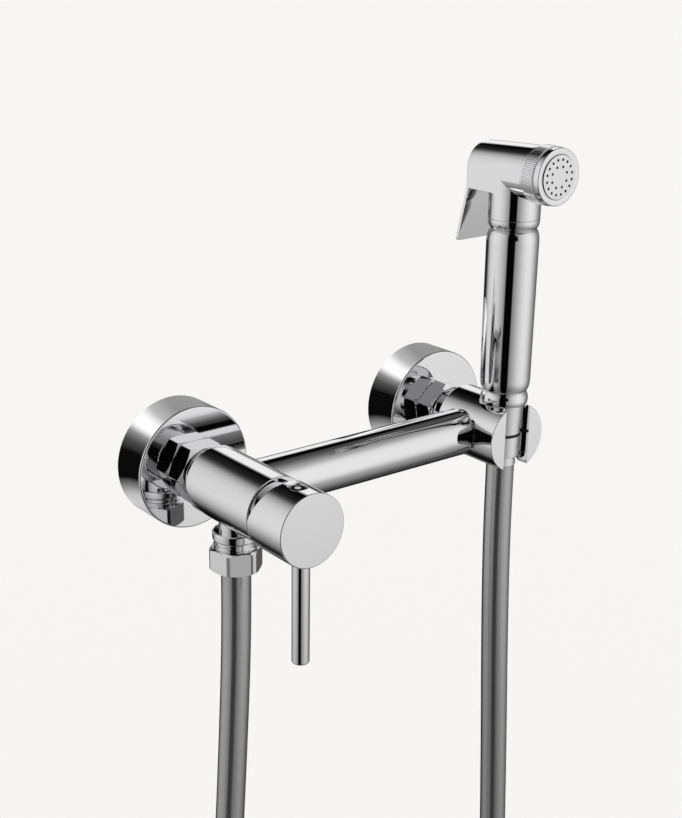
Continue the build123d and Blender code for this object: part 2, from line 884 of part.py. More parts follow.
def cone_ring():
    """Black ring in the conical nut's groove."""
    low = cone_ring_bottom + fit_clearance
    high = cone_ring_top - fit_clearance
    return turned_up(right, spray_out, ring(cone_groove, cone_ring_radius - cone_ring_sink, low, high))


def hose_end():
    """Ferrule, tube and collar of the hose; the conical nut turns on them."""
    return turned_up(right, spray_out, [
        (hose_insert_bore, ferrule_bottom),
        (ferrule_radius, ferrule_bottom),
        (ferrule_radius, ferrule_top),
        (end_tube_radius, ferrule_top),
        (end_tube_radius, end_collar_bottom),
        (end_collar_radius, end_collar_bottom),
        (end_collar_radius, end_collar_top),
        (hose_insert_bore, end_collar_top),
    ])


def spray_washer():
    outer = spray_thread_radius - 2 * fit_clearance
    return turned_up(right, spray_out, ring(hose_insert_bore, outer, end_washer_bottom, end_washer_top))


# Hand spray

def spray_end():
    """Threaded end piece of the handle with its rounded collar."""
    foot = (end_piece_radius - end_piece_edge, end_piece_bottom)
    bulge = (end_piece_radius, end_piece_bottom + end_piece_bulge)
    waist = (waist_radius, end_piece_top)
    tube_fit = tube_radius + fit_clearance
    inside = Polyline(
        waist,
        (end_spigot_radius, end_piece_top),
        (end_spigot_radius, end_spigot_top),
        (tube_fit, end_spigot_top),
        (tube_fit, tube_bottom),
        (hose_insert_bore, tube_bottom),
        (hose_insert_bore, end_washer_top),
        (spray_thread_radius, end_washer_top),
        (spray_thread_radius, end_piece_bottom),
        foot,
    )
    return turned_outline(right, spray_out, ThreePointArc(foot, bulge, waist), inside)


def handle_sleeve():
    """Long sleeve with rounded ends, drawn in to a waist at each end."""
    bore = end_spigot_radius + fit_clearance
    low_in = end_spigot_top + sleeve_land
    high_in = head_spigot_bottom - sleeve_land
    low = sleeve_bottom + sleeve_round
    high = sleeve_top - sleeve_round
    bottom_draw = sleeve_bottom_radius - waist_radius
    top_draw = sleeve_top_radius - waist_radius
    inside = Polyline(
        (waist_radius, sleeve_top),
        (bore, sleeve_top),
        (bore, high_in),
        (sleeve_bore, high_in - sleeve_land),
        (sleeve_bore, low_in + sleeve_land),
        (bore, low_in),
        (bore, sleeve_bottom),
        (waist_radius, sleeve_bottom),
    )
    return turned_outline(
        right,
        spray_out,
        EllipticalCenterArc((waist_radius, low), bottom_draw, sleeve_round, start_angle=270, arc_size=90),
        Line((sleeve_bottom_radius, low), (sleeve_top_radius, high)),
        EllipticalCenterArc((waist_radius, high), top_draw, sleeve_round, start_angle=0, arc_size=90),
        inside,
    )


def water_tube():
    low = tube_bottom + fit_clearance
    high = tube_top - fit_clearance
    return turned_up(right, spray_out, ring(tube_bore, tube_radius, low, high))


def spray_head():
    """Neck and flat-sided barrel that rises toward the nozzle, with the valve bore inside."""
    neck_low = sleeve_top + neck_round
    side = Polyline(
        (head_radius, neck_low),
        (head_radius, neck_seam_height - neck_seam),
        (head_radius - neck_seam, neck_seam_height),
        (head_radius, neck_seam_height + neck_seam),
        (head_radius, head_height),
        (0, head_height),
        (0, head_spigot_bottom),
        (end_spigot_radius, head_spigot_bottom),
        (end_spigot_radius, sleeve_top),
        (waist_radius, sleeve_top),
    )
    draw = head_radius - waist_radius
    rounding = EllipticalCenterArc((waist_radius, neck_low), draw, neck_round, start_angle=270, arc_size=90)
    head = turned_outline(right, spray_out, rounding, side)
    back_middle = (right, -head_back, head_height - head_back_drop)
    front_middle = (right, -head_front, head_height)
    back_disc = Plane(origin=back_middle, z_dir=(0, -1, 0)) * Circle(head_back_radius)
    front_disc = Plane(origin=front_middle, z_dir=(0, -1, 0)) * Circle(head_front_radius)
    barrel = loft([back_disc, front_disc], ruled=True)
    barrel = chamfer(barrel.edges().group_by(Axis.Y)[-1], head_edge)
    width = 2 * head_radius
    head += barrel & block(right, head_height, width, 4 * head_radius, head_back, head_front)
    head += block(right, head_height - head_skirt_drop / 2, width, head_skirt_drop, head_back, spray_out)
    head += bar_from_wall(right, head_height, nozzle_thread_radius, head_front, nozzle_thread_end)
    head -= bar_up(right, spray_out, tube_radius + fit_clearance, head_spigot_bottom, tube_top)
    head -= bar_up(right, spray_out, head_water_bore, tube_top, head_height)
    head -= bar_from_wall(right, head_height, gland_radius + fit_clearance, head_back, head_chamber_back)
    head -= bar_from_wall(right, head_height, head_chamber_radius, head_chamber_back, head_chamber_front)
    head -= bar_from_wall(right, head_height, seat_bore, head_chamber_front, nozzle_thread_end)
    cavity_back = head_chamber_front + seat_thickness
    head -= bar_from_wall(right, head_height, nozzle_cavity_radius, cavity_back, nozzle_thread_end)
    reach = trigger_pin_out + trigger_lug_radius + trigger_lug_gap
    slot_top = trigger_pin_height + trigger_lug_radius + trigger_lug_gap
    slot_bottom = head_height - head_back_drop - head_front_radius
    slot_width_over_lug = 2 * (trigger_lug_half + trigger_lug_gap)
    slot_middle = (slot_top + slot_bottom) / 2
    head -= block(right, slot_middle, slot_width_over_lug, slot_top - slot_bottom, head_back, reach)
    return head - trigger_cross_bar(trigger_pin_radius + pin_clearance, trigger_pin_half)


def trigger_cross_bar(radius, half):
    """Round bar on the trigger's pivot line."""
    return bar_along(trigger_pin_out, trigger_pin_height, radius, right - half, right + half)


def trigger_pin():
    return trigger_cross_bar(trigger_pin_radius, trigger_pin_half)


def trigger():
    """Bent plate: a round top flush with the head's back, and a flared blade for the thumb."""
    width = 2 * trigger_half_width
    disc_height = head_height - trigger_disc_drop
    plate = bar_from_wall(right, disc_height, trigger_disc_radius, trigger_outer, trigger_inner)
    skirt_height = disc_height - trigger_bend_height
    skirt_middle = (disc_height + trigger_bend_height) / 2
    plate += block(right, skirt_middle, width, skirt_height, trigger_outer, trigger_inner)
    blade_align = (Align.CENTER, Align.MAX, Align.MAX)
    blade = Box(width, trigger_thickness, trigger_length, align=blade_align)
    corners = blade.edges().filter_by(Axis.Y).group_by(Axis.Z)[0]
    blade = fillet(corners, trigger_corner)
    plate += Pos(right, -trigger_outer, trigger_bend_height) * Rot(trigger_flare, 0, 0) * blade
    knee = trigger_thickness * math.tan(math.radians(trigger_flare))
    plate += block(right, trigger_bend_height - knee / 2, width, knee, trigger_outer, trigger_inner)
    lug_width = 2 * trigger_lug_half
    lug_height = 2 * trigger_lug_radius
    plate += block(right, trigger_pin_height, lug_width, lug_height, trigger_inner, trigger_pin_out)
    plate += trigger_cross_bar(trigger_lug_radius, trigger_lug_half)
    plate -= trigger_cross_bar(trigger_pin_radius + running_clearance, trigger_lug_half)
    for rise in (-trigger_slot_travel / 2, trigger_slot_travel / 2):
        end = head_height + rise
        plate -= bar_from_wall(right, end, trigger_slot_half, trigger_outer, trigger_inner)
    opening = 2 * trigger_slot_half
    return plate - block(right, head_height, opening, trigger_slot_travel, trigger_outer, trigger_inner)


def valve_gland():
    """Plug in the head's back that the valve stem slides through."""
    bore = stem_radius + running_clearance
    gland = bar_from_wall(right, head_height, gland_radius, gland_back, head_chamber_back)
    gland -= bar_from_wall(right, head_height, bore, gland_back, head_chamber_back)
    groove_back = gland_middle - gland_ring_wire
    groove_front = gland_middle + gland_ring_wire
    return gland - bar_from_wall(right, head_height, gland_groove, groove_back, groove_front)


def gland_ring():
    """Ring round the stem inside the gland, with a running gap to the stem."""
    half = gland_ring_wire - fit_clearance
    inner = stem_radius + running_clearance
    outer = gland_groove - fit_clearance
    section = ring(inner, outer, gland_middle - half, gland_middle + half)
    return turned_from_wall(right, head_height, section)


def valve_stem():
    """Stem with a rounded head outside the trigger and the seal's flange inside the chamber."""
    head_inner = trigger_outer - stem_head_gap
    head_outer = head_inner - stem_head_length
    button = bar_from_wall(right, head_height, stem_head_radius, head_outer, head_inner)
    button = fillet(button.edges().group_by(Axis.Y)[-1], stem_head_round)
    button += bar_from_wall(right, head_height, stem_radius, head_inner, stem_flange_back)
    return button + bar_from_wall(right, head_height, stem_flange_radius, stem_flange_back, seal_back)


def valve_seal():
    return bar_from_wall(right, head_height, stem_flange_radius, seal_back, seal_front)


def valve_spring():
    """Coil round the stem, between the gland and the seal's flange."""
    low = head_chamber_back + spring_gap + spring_wire
    height = stem_flange_back - spring_gap - spring_wire - low
    path = Helix(height / spring_turns, height, spring_radius)
    wire = Plane(origin=path @ 0, z_dir=path % 0) * Circle(spring_wire)
    return seat_out(right, head_height, low, sweep(wire, path=path, is_frenet=True))


def knurled_ring():
    """Screwed ring that holds the rose: a plain collar, a knurled band, a groove and a rounded rim."""
    knurl_start = head_front + nozzle_collar_length
    knurl_end = knurl_start + knurl_length
    rim_start = head_front + nozzle_rim_start
    knurl = toothed(knurl_radius, knurl_depth, knurl_teeth, knurl_length)
    body = bar_from_wall(right, head_height, nozzle_collar_radius, head_front, knurl_start)
    body += seat_out(right, head_height, knurl_start, knurl)
    body += turned_from_wall(right, head_height, [
        (0, knurl_end),
        (nozzle_groove_radius, knurl_end),
        (nozzle_groove_radius, rim_start - nozzle_groove_fade),
        (nozzle_rim_radius, rim_start),
        (nozzle_rim_radius, nozzle_face - nozzle_rim_edge),
        (nozzle_rim_radius - nozzle_rim_edge, nozzle_face),
        (0, nozzle_face),
    ])
    thread = nozzle_thread_radius + thread_clearance
    body -= bar_from_wall(right, head_height, thread, head_front, lip_start)
    return body - bar_from_wall(right, head_height, nozzle_opening, lip_start, nozzle_face)


def rose_plate():
    """Spray plate with two rings of round holes."""
    face = nozzle_face + rose_rise
    plate = bar_from_wall(right, head_height, rose_flange_radius, rose_back, lip_start)
    plate += bar_from_wall(right, head_height, nozzle_opening - rose_gap, lip_start, face)
    for radius, count in ((rose_outer_circle, rose_outer_count), (rose_inner_circle, rose_inner_count)):
        for i in range(count):
            a = 2 * math.pi * (i + 0.5) / count
            x = right + radius * math.cos(a)
            z = head_height + radius * math.sin(a)
            plate -= bar_from_wall(x, z, rose_hole, rose_back, face)
    return plate


def rose_gasket():
    front = rose_back - fit_clearance
    section = ring(nozzle_cavity_radius, nozzle_thread_radius, front - rose_gasket_thickness, front)
    return turned_from_wall(right, head_height, section)


os.makedirs("parts", exist_ok=True)
sides = (("left", left, body_back, 0), ("right", right, holder_back, right_nut_turn))
for side, x, casting_back, nut_turn in sides:
    write(f"wall_flange_{side}", wall_flange(x))
    write(f"s_union_{side}", s_union(x))
    write(f"union_nut_{side}", union_nut(x, nut_turn))
    write(f"inlet_washer_{side}", inlet_washer(x))
    write(f"inlet_strainer_{side}", inlet_strainer(x))
    write(f"inlet_tail_{side}", inlet_tail(x, casting_back))
for piece in (
    valve_body, crossbar, bar_seal, holder_block,
    outlet_nipple, hose_nut, outlet_washer, outlet_hose_tail, hose,
    cartridge_housing, base_seals, fixed_disc, moving_disc, disc_carrier, cartridge_rotor, pivot_pin,
    retaining_nut, cover_ring, spindle, handle_cap, lever_rod, grub_screw,
    cone_nut, cone_ring, hose_end, spray_washer, spray_end, handle_sleeve, water_tube,
    spray_head, trigger_pin, trigger, valve_gland, gland_ring, valve_stem, valve_seal, valve_spring,
    knurled_ring, rose_plate, rose_gasket,
):
    write(piece.__name__, piece())
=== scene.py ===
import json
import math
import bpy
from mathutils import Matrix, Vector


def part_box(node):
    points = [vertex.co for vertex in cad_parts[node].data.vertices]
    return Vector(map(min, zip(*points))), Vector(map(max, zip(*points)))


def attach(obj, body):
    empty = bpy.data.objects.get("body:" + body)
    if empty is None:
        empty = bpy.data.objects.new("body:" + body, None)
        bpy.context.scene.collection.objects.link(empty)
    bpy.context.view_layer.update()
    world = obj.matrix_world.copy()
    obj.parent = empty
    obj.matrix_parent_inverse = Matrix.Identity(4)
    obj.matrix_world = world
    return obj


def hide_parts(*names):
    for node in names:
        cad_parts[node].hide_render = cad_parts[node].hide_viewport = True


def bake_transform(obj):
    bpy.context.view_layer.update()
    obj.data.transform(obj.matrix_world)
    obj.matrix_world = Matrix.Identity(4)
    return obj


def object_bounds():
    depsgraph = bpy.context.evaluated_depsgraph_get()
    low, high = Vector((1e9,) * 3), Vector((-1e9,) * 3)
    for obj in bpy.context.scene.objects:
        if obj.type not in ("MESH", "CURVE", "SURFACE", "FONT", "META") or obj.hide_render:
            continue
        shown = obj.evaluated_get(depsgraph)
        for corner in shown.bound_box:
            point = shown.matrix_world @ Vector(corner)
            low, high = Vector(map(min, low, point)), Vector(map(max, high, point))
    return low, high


bl_info = {
    "name": "Wall bidet mixer",
    "version": (1, 0, 0),
    "blender": (4, 5, 0),
    "location": "3D View > Sidebar > Mixer",
    "description": "Builds a wall mixer with a lever valve, a hand spray in its holder and a hanging hose",
    "category": "Add Mesh",
}

import bmesh
import bpy
from bpy.props import FloatProperty, FloatVectorProperty, IntProperty, PointerProperty
from mathutils import Matrix, Vector

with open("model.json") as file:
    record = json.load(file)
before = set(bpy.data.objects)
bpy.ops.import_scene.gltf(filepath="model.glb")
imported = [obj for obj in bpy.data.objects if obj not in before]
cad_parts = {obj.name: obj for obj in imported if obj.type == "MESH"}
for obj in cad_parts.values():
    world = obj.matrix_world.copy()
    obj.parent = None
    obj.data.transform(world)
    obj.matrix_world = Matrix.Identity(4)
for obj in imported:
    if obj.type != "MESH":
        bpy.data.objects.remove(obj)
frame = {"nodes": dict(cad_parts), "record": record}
cad_low, cad_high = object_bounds()

# Gap between pieces that fit in each other
FIT = 0.00005


def middle(node):
    """Middle of a CAD node's box."""
    low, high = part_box(node)
    return (low + high) / 2


def length(text, default):
    return FloatProperty(name=text, default=default, unit="LENGTH", precision=5)


def angle(text, degrees):
    return FloatProperty(name=text, default=math.radians(degrees), unit="ROTATION")


def count(text, default):
    return IntProperty(name=text, default=default, min=1)


def colour(text, default):
    return FloatVectorProperty(name=text, default=default, subtype="COLOR", size=3, min=0, max=1)


class MixerLayout(bpy.types.PropertyGroup):
    """Where the mixer's parts stand. "Out" is a distance from the wall."""

    left_x: length("Place of the lever valve along the wall", middle("valve_body").x)
    right_x: length("Place of the hand spray along the wall", middle("wall_flange_right").x)
    axis_height: length("Height of the mixer's axis above the wall inlets", middle("crossbar").z)
    bar_out: length("Distance of the crossbar's axis from the wall", -middle("crossbar").y)
    outlet_out: length("Distance of the hose outlet's axis from the wall", -middle("outlet_nipple").y)
    spray_out: length("Distance of the hand spray's axis from the wall", -middle("handle_sleeve").y)
    head_height: length("Height of the spray barrel's axis", middle("knurled_ring").z)


class WallSide(bpy.types.PropertyGroup):
    """Sizes of the wall flanges, union nuts and inlet bosses."""

    flange_radius: length("Outer radius of a wall flange", 0.0297)
    flange_depth: length("How far a wall flange stands out", 0.01985)
    flange_edge: length("Rounding of a wall flange's front edge", 0.0009)
    flange_wall: length("Wall thickness of a flange", 0.0016)
    flange_hole: length("Radius of the hole for the eccentric union", 0.01078)
    nut_corner: length("Radius of a union nut's corners", 0.0155)
    right_nut_turn: angle("How far the right union nut is turned", -21.5)
    nut_edge: length("Rounding of a union nut's long edges", 0.0003)
    nut_bore: length("Radius of a union nut's thread", 0.01056)
    nut_lip: length("Thickness of the lip in a union nut", 0.0017)
    lip_bore: length("Radius of the hole in the lip", 0.0083)
    nut_back: length("Where a union nut begins", 0.0201)
    nut_length: length("Length of a union nut", 0.0102)
    boss_radius: length("Radius of the boss between nut and casting", 0.0124)
    boss_back: length("Where the boss begins", 0.0306)
    neck_radius: length("Radius of the inlet tail inside the nut", 0.008)
    tail_bore: length("Radius of the inlet tail's bore", 0.0055)
    tail_collar: length("Radius of the tail's collar behind the lip", 0.0093)
    tail_collar_length: length("Length of the tail's collar", 0.0022)
    spigot_radius: length("Radius of the tail's spigot in the casting", 0.009)
    spigot_length: length("Length of the spigot", 0.0055)
    face_thickness: length("Thickness of a flange's face", 0.002)


class ValveSizes(bpy.types.PropertyGroup):
    """Sizes of the valve body, the crossbar and the outlet."""

    body_radius: length("Radius of the valve body", 0.0164)
    body_back: length("Where the valve body begins", 0.0376)
    body_front: length("Where the valve body ends", 0.086)
    body_edge: length("Rounding of the body's edges", 0.0006)
    chamber_radius: length("Radius of the cartridge's chamber", 0.0126)
    chamber_depth: length("Depth of the cartridge's chamber", 0.024)
    seat_radius: length("Radius of the retaining nut's thread", 0.0142)
    seat_depth: length("Depth of the retaining nut's thread", 0.006)
    bar_radius: length("Radius of the crossbar", 0.01173)
    bar_bore: length("Radius of the crossbar's bore", 0.008)
    bar_end: length("Where the crossbar ends along the wall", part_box("crossbar")[1].x)
    collar_radius: length("Radius of the collar under the body", 0.0107)
    collar_length: length("Length of the collar under the body", 0.0077)
    collar_height: length("Height of the collar itself", 0.0048)
    collar_round: length("Rounding of the collar's lower edge", 0.0016)
    collar_top_round: length("Rounding of the collar's upper edge", 0.0009)
    waist_radius: length("Radius of the waist between body and collar", 0.0076)
    thread_radius: length("Radius of the outlet's thread", 0.0102)
    thread_pitch: length("Pitch of the outlet's thread", 0.0018)
    thread_depth: length("Depth of the outlet's thread", 0.0008)
    thread_gap: length("Gap between the collar and the thread", 0.0007)
    thread_length: length("Length of the thread", 0.0064)
    nipple_top: length("Top of the nipple in the body, below the mixer's axis", 0.01145)
    outlet_bore: length("Radius of the outlet's bore", 0.005)
    hose_nut_corner: length("Radius of the hose nut's corners", 0.0128)
    hose_nut_edge: length("Chamfer of the hose nut's long edges", 0.001)
    hose_nut_top: length("Top of the hose nut below the mixer's axis", 0.0275)
    hose_nut_length: length("Length of the hose nut", 0.011)
    hose_nut_lip: length("Thickness of the hose nut's lip", 0.0024)
    hose_nut_hole: length("Radius of the hole for the hose", 0.0073)
    hose_nut_bore: length("Radius of the hose nut's thread", 0.01028)
    hose_nut_turn: angle("How far the hose nut is turned", 39.5)


class LeverSizes(bpy.types.PropertyGroup):
    """Sizes of the lever's cap, its rod and the rings behind it."""

    cap_radius: length("Radius of the lever's cap", 0.0169)
    cap_back: length("Where the cap begins", 0.087)
    cap_front: length("Where the cap ends", 0.1112)
    cap_edge: length("Rounding of the cap's front edge", 0.0006)
    back_edge: length("Rounding of the cap's back edge", 0.0002)
    cap_slope: angle("Slope of the cap's back above its middle", 22)
    cavity_radius: length("Radius of the hollow in the cap's back", 0.0142)
    cavity_depth: length("Depth of the hollow in the cap's back", 0.0095)
    screw_out: length("Distance of the screw's recess from the wall", 0.1006)
    recess_radius: length("Radius of the screw's recess", 0.004)
    recess_depth: length("Depth of the screw's recess", 0.0026)
    recess_rim: length("Countersink at the recess's mouth", 0.0007)
    screw_head: length("Radius of the screw's head", 0.0039)
    screw_sink: length("How deep the screw's head sits below the cap's top", 0.0005)
    screw_groove: length("Depth of the ring groove in the screw's head", 0.0012)
    screw_ring: length("Width of the ring round the groove", 0.0007)
    screw_pin: length("Radius of the middle of the screw's head", 0.0014)
    rod_radius: length("Radius of the lever's rod", 0.004)
    rod_out: length("Distance of the lever's rod from the wall", 0.103)
    rod_top: length("Where the rod sits in the cap, below the axis", 0.0122)
    rod_tip: length("Tip of the rod below the axis", 0.0655)
    rod_round: length("Rounding of the rod's tip", 0.001)
    crown_radius: length("Radius of the retaining nut's serrated crown", 0.0129)
    crown_length: length("Length of the serrated crown", 0.0032)
    crown_teeth: count("Serrations round the crown", 48)
    serration: length("Depth of a serration", 0.00035)
    crown_floor: length("Back of the retaining nut's bore", 0.0866)
    crown_bore: length("Radius of the retaining nut's hole", 0.0096)
    crown_seat: length("Radius of the retaining nut's bore", 0.01255)
    cover_radius: length("Outer radius of the cover ring", 0.0136)
    cover_length: length("Length of the cover ring", 0.002)


class HolderSizes(bpy.types.PropertyGroup):
    """Sizes of the hand spray's holder."""

    radius: length("Radius of the holder's casting", 0.0172)
    back: length("Where the holder begins", 0.0394)
    front: length("Where the holder ends", 0.0793)
    edge: length("Rounding of the holder's front edge", 0.0004)
    shoulder_radius: length("Radius of the shoulder beside the crossbar", 0.0107)
    shoulder_gap: length("Gap between crossbar and shoulder", 0.0002)
    spigot_length: length("Length of the spigot in the crossbar", 0.0082)
    slot_width: length("Width of the front slot", 0.016)
    mouth_radius: length("Radius of the socket's countersunk mouth", 0.0129)
    mouth_depth: length("Depth of the countersink", 0.0045)
    socket_gap: length("Gap between socket and conical nut", 0.0003)


class SpraySizes(bpy.types.PropertyGroup):
    """Sizes of the conical nut and the hand spray. Heights are from the mixer's axis."""

    cone_top: length("Top of the conical nut", 0.016)
    cone_top_radius: length("Radius of the conical nut's top", 0.00995)
    cone_ring_top: length("Top of the black ring", 0.0014)
    cone_ring_width: length("Width of the black ring", 0.0016)
    cone_ring_radius: length("Radius of the cone at the black ring", 0.00915)
    cone_bottom: length("Bottom of the conical nut", -0.011)
    cone_bottom_radius: length("Radius of the conical nut's bottom", 0.00875)
    cone_bore: length("Radius of the conical nut's thread", 0.0082)
    cone_hole: length("Radius of the conical nut's hole for the ferrule", 0.0069)
    cone_floor: length("Height of the conical nut's inner shoulder", 0.0022)
    water_bore: length("Radius of the water way through ferrule and end piece", 0.0042)
    ferrule_neck: length("Radius of the ferrule in the conical nut's hole", 0.0066)
    ferrule_flange: length("Radius of the ferrule's flange", 0.0079)
    ferrule_flange_top: length("Top of the ferrule's flange", 0.0043)
    ferrule_radius: length("Radius of the hose's ferrule", 0.00735)
    ferrule_top: length("Top of the ferrule", -0.0113)
    ferrule_bottom: length("Bottom of the ferrule", -0.016)
    end_bottom: length("Bottom of the handle's end piece", 0.0163)
    end_top: length("Top of the handle's end piece", 0.0229)
    end_foot: length("Foot of the end piece's thread in the conical nut", 0.0063)
    end_thread: length("Radius of the end piece's thread", 0.0081)
    end_spigot: length("Radius of the end piece's spigot in the sleeve", 0.009)
    end_spigot_length: length("Length of the end piece's spigot", 0.011)
    tube_seat: length("Radius of the water tube's seat", 0.00565)
    tube_seat_depth: length("Depth of the water tube's seat", 0.003)
    sleeve_bore: length("Radius of the sleeve's bore", 0.0106)
    sleeve_seat: length("Length of the sleeve's seats for the end piece and the neck", 0.012)
    sleeve_step: length("Length of the cone between a seat and the bore", 0.001)
    end_bow: length("Radius of the bow of the end piece's side", 0.006625)
    end_bow_radius: length("Distance of the bow's centre from the axis", 0.005075)
    end_bow_height: length("Height of the bow's centre", 0.018826)
    waist_radius: length("Radius where the rounded ends meet", 0.0103)
    sleeve_bottom: length("Bottom of the handle's sleeve", 0.023)
    sleeve_top: length("Top of the handle's sleeve", 0.103)
    sleeve_low_radius: length("Radius of the sleeve near its bottom", 0.01225)
    sleeve_high_radius: length("Radius of the sleeve near its top", 0.0125)
    sleeve_round: length("Height of the sleeve's rounded ends", 0.0062)
    head_radius: length("Radius of the neck, and half the barrel's width", 0.0123)
    barrel_back_radius: length("Radius of the barrel at its back", 0.0123)
    barrel_front_radius: length("Radius of the barrel at its front", 0.0128)
    barrel_drop: length("How much lower the barrel's middle is at its back", 0.001)
    skirt_drop: length("Drop of the barrel's straight sides behind the neck", 0.0102)
    skirt_fillet: length("Fillet between the skirt and the neck", 0.002)
    neck_round: length("Height of the neck's rounded lower end", 0.0042)
    seam_rise: length("Height of the neck's seam above the sleeve", 0.005)
    seam_depth: length("Depth of the neck's seam", 0.00025)
    head_back: length("Reach of the barrel behind the handle's axis", 0.0194)
    head_front: length("Reach of the barrel before the handle's axis", 0.0145)
    gland_radius: length("Radius of the valve gland's seat", 0.00755)
    gland_depth: length("Depth of the valve gland's seat", 0.0081)
    head_thread: length("Radius of the barrel's thread for the nozzle ring", 0.0112)
    head_thread_length: length("Length of the barrel's thread", 0.008)
    head_bore: length("Radius of the barrel's bore", 0.0094)
    head_floor: length("Reach of the bore's floor before the handle's axis", 0.0092)
    collar_radius: length("Radius of the plain collar behind the knurl", 0.0129)
    collar_length: length("Length of the plain collar behind the knurl", 0.002)
    knurl_radius: length("Radius of the knurled band", 0.0136)
    knurl_length: length("Length of the knurled band", 0.007)
    knurl_teeth: count("Ribs round the knurled band", 96)
    knurl_depth: length("Depth of the knurl", 0.00045)
    groove_radius: length("Radius of the groove before the knurl", 0.0126)
    rim_start: length("Start of the nozzle's rim from the barrel's front", 0.0097)
    rim_radius: length("Radius of the nozzle's rim", 0.0132)
    rim_edge: length("Rounding of the nozzle's rim", 0.0005)
    nozzle_length: length("Length of the nozzle ring", 0.0125)
    opening: length("Radius of the nozzle's opening", 0.0103)
    nozzle_lip: length("Thickness of the nozzle's lip over the rose", 0.0017)
    nozzle_thread: length("Radius of the nozzle ring's thread", 0.01128)
    rose_flange: length("Thickness of the rose's flange behind the lip", 0.0013)
    rose_radius: length("Radius of the rose's flange", 0.011)
    rose_rise: length("How far the rose stands out of the nozzle", 0.0004)
    rose_hole: length("Radius of a spray hole", 0.00066)
    rose_outer: length("Radius of the outer ring of holes", 0.008)
    rose_inner: length("Radius of the inner ring of holes", 0.0049)
    rose_outer_count: count("Holes in the outer ring", 16)
    rose_inner_count: count("Holes in the inner ring", 8)
    trigger_outer: length("Distance of the trigger's outer face from the wall", 0.0474)
    trigger_thickness: length("Thickness of the trigger's plate", 0.0016)
    trigger_disc: length("Radius of the trigger's round top", 0.0116)
    trigger_disc_drop: length("Drop from the barrel's axis to the disc's middle", 0.001)
    trigger_half: length("Half of the trigger's width", 0.0114)
    trigger_bend: length("Drop from the barrel's axis to the bend", 0.0109)
    trigger_flare: angle("Angle of the blade to the upright", 13.6)
    trigger_length: length("Length of the blade", 0.0264)
    trigger_corner: length("Rounding of the blade's corners", 0.0012)
    pin_out: length("Distance of the trigger's pin from the wall", 0.0516)
    pin_drop: length("Drop from the barrel's axis to the pin", 0.0107)
    slot_width: length("Width of the head's slot for the knuckle", 0.0056)
    slot_rise: length("Top of the head's slot above the pin", 0.0018)
    pin_hole: length("Radius of the pin's hole", 0.00095)
    knuckle_radius: length("Radius of the knuckle round the pin", 0.0015)
    knuckle_width: length("Width of the knuckle", 0.005)
    slit_radius: length("Radius of the ends of the trigger's slit", 0.0023)
    slit_stretch: length("Half of the distance between the slit's ends", 0.0008)
    stem_radius: length("Radius of the valve stem", 0.002)
    stem_head: length("Radius of the valve stem's head", 0.0034)


class HoseSizes(bpy.types.PropertyGroup):
    """Sizes of the hose."""

    radius: length("Radius of the hose", 0.007)
    total: length("Length of the hose along its middle", 0.999)


class Finishes(bpy.types.PropertyGroup):
    """Colours of the finishes."""

    chrome: colour("Colour of the polished plating", (0.80, 0.80, 0.81))
    rose: colour("Colour of the rose plate's satin plating", (0.78, 0.78, 0.78))
    brass: colour("Colour of the bare brass inside", (0.66, 0.47, 0.22))
    steel: colour("Colour of the stainless steel", (0.52, 0.52, 0.51))
    # The seals' colour also serves as painted shade on the walls of small holes
    rubber: colour("Colour of the seals", (0.012, 0.012, 0.012))
    plastic: colour("Colour of the cartridge", (0.62, 0.61, 0.58))
    ceramic: colour("Colour of the discs", (0.82, 0.80, 0.76))
    hose: colour("Colour of the hose's sheath", (0.47, 0.47, 0.475))


class StudioSettings(bpy.types.PropertyGroup):
    """Camera and studio."""

    azimuth: angle("Camera's turn round the object", -36.04)
    elevation: angle("Camera's height above the level", 20.85)
    camera: FloatVectorProperty(
        name="Camera", description="Place of the camera", subtype="TRANSLATION", size=3,
        default=(-0.41558, -0.55868, 0.25525),
    )
    lens: FloatProperty(name="Lens", description="Focal length", default=64.36, min=1)
    shift_x: FloatProperty(name="Shift X", description="Camera's sideways shift", default=0.0698)
    shift_y: FloatProperty(name="Shift Y", description="Camera's upward shift", default=0.0596)
    backdrop: colour("Colour of the background and the floor", (0.930, 0.921, 0.905))
    floor_drop: length("Gap between the hose's loop and the floor", 0.012)


PLATING = {
    "chrome": dict(metal=1.0, rough=(0.02, 0.045), grain=900, tone=0.02, relief=0.00001, waves=70),
    "rose_chrome": dict(metal=1.0, rough=(0.12, 0.17), grain=1500, tone=0.04, relief=0.00001, waves=900),
    "brass": dict(metal=1.0, rough=(0.22, 0.40), grain=600, tone=0.12, relief=0.00002, waves=500),
    "stainless": dict(metal=1.0, rough=(0.16, 0.28), grain=800, tone=0.06, relief=0.00001, waves=900),
    "rubber": dict(metal=0.0, rough=(0.55, 0.75), grain=900, tone=0.25, relief=0.00003, waves=2500),
    "cartridge_plastic": dict(metal=0.0, rough=(0.38, 0.5), grain=500, tone=0.05, relief=0.00002, waves=1800),
    "disc_ceramic": dict(metal=0.0, rough=(0.10, 0.16), grain=700, tone=0.04, relief=0.00001, waves=900),
    "hose_silver": dict(metal=0.9, rough=(0.12, 0.15), grain=1200, tone=0.06, relief=0.00002, waves=1600),
}
COLOUR_OF = {
    "chrome": "chrome", "rose_chrome": "rose", "brass": "brass", "stainless": "steel", "rubber": "rubber",
    "cartridge_plastic": "plastic", "disc_ceramic": "ceramic", "hose_silver": "hose",
}


def node_of(tree, kind, **inputs):
    """Adds a shader node and sets its unlinked sockets."""
    node = tree.nodes.new(kind)
    for name, value in inputs.items():
        node.inputs[name].default_value = value
    return node


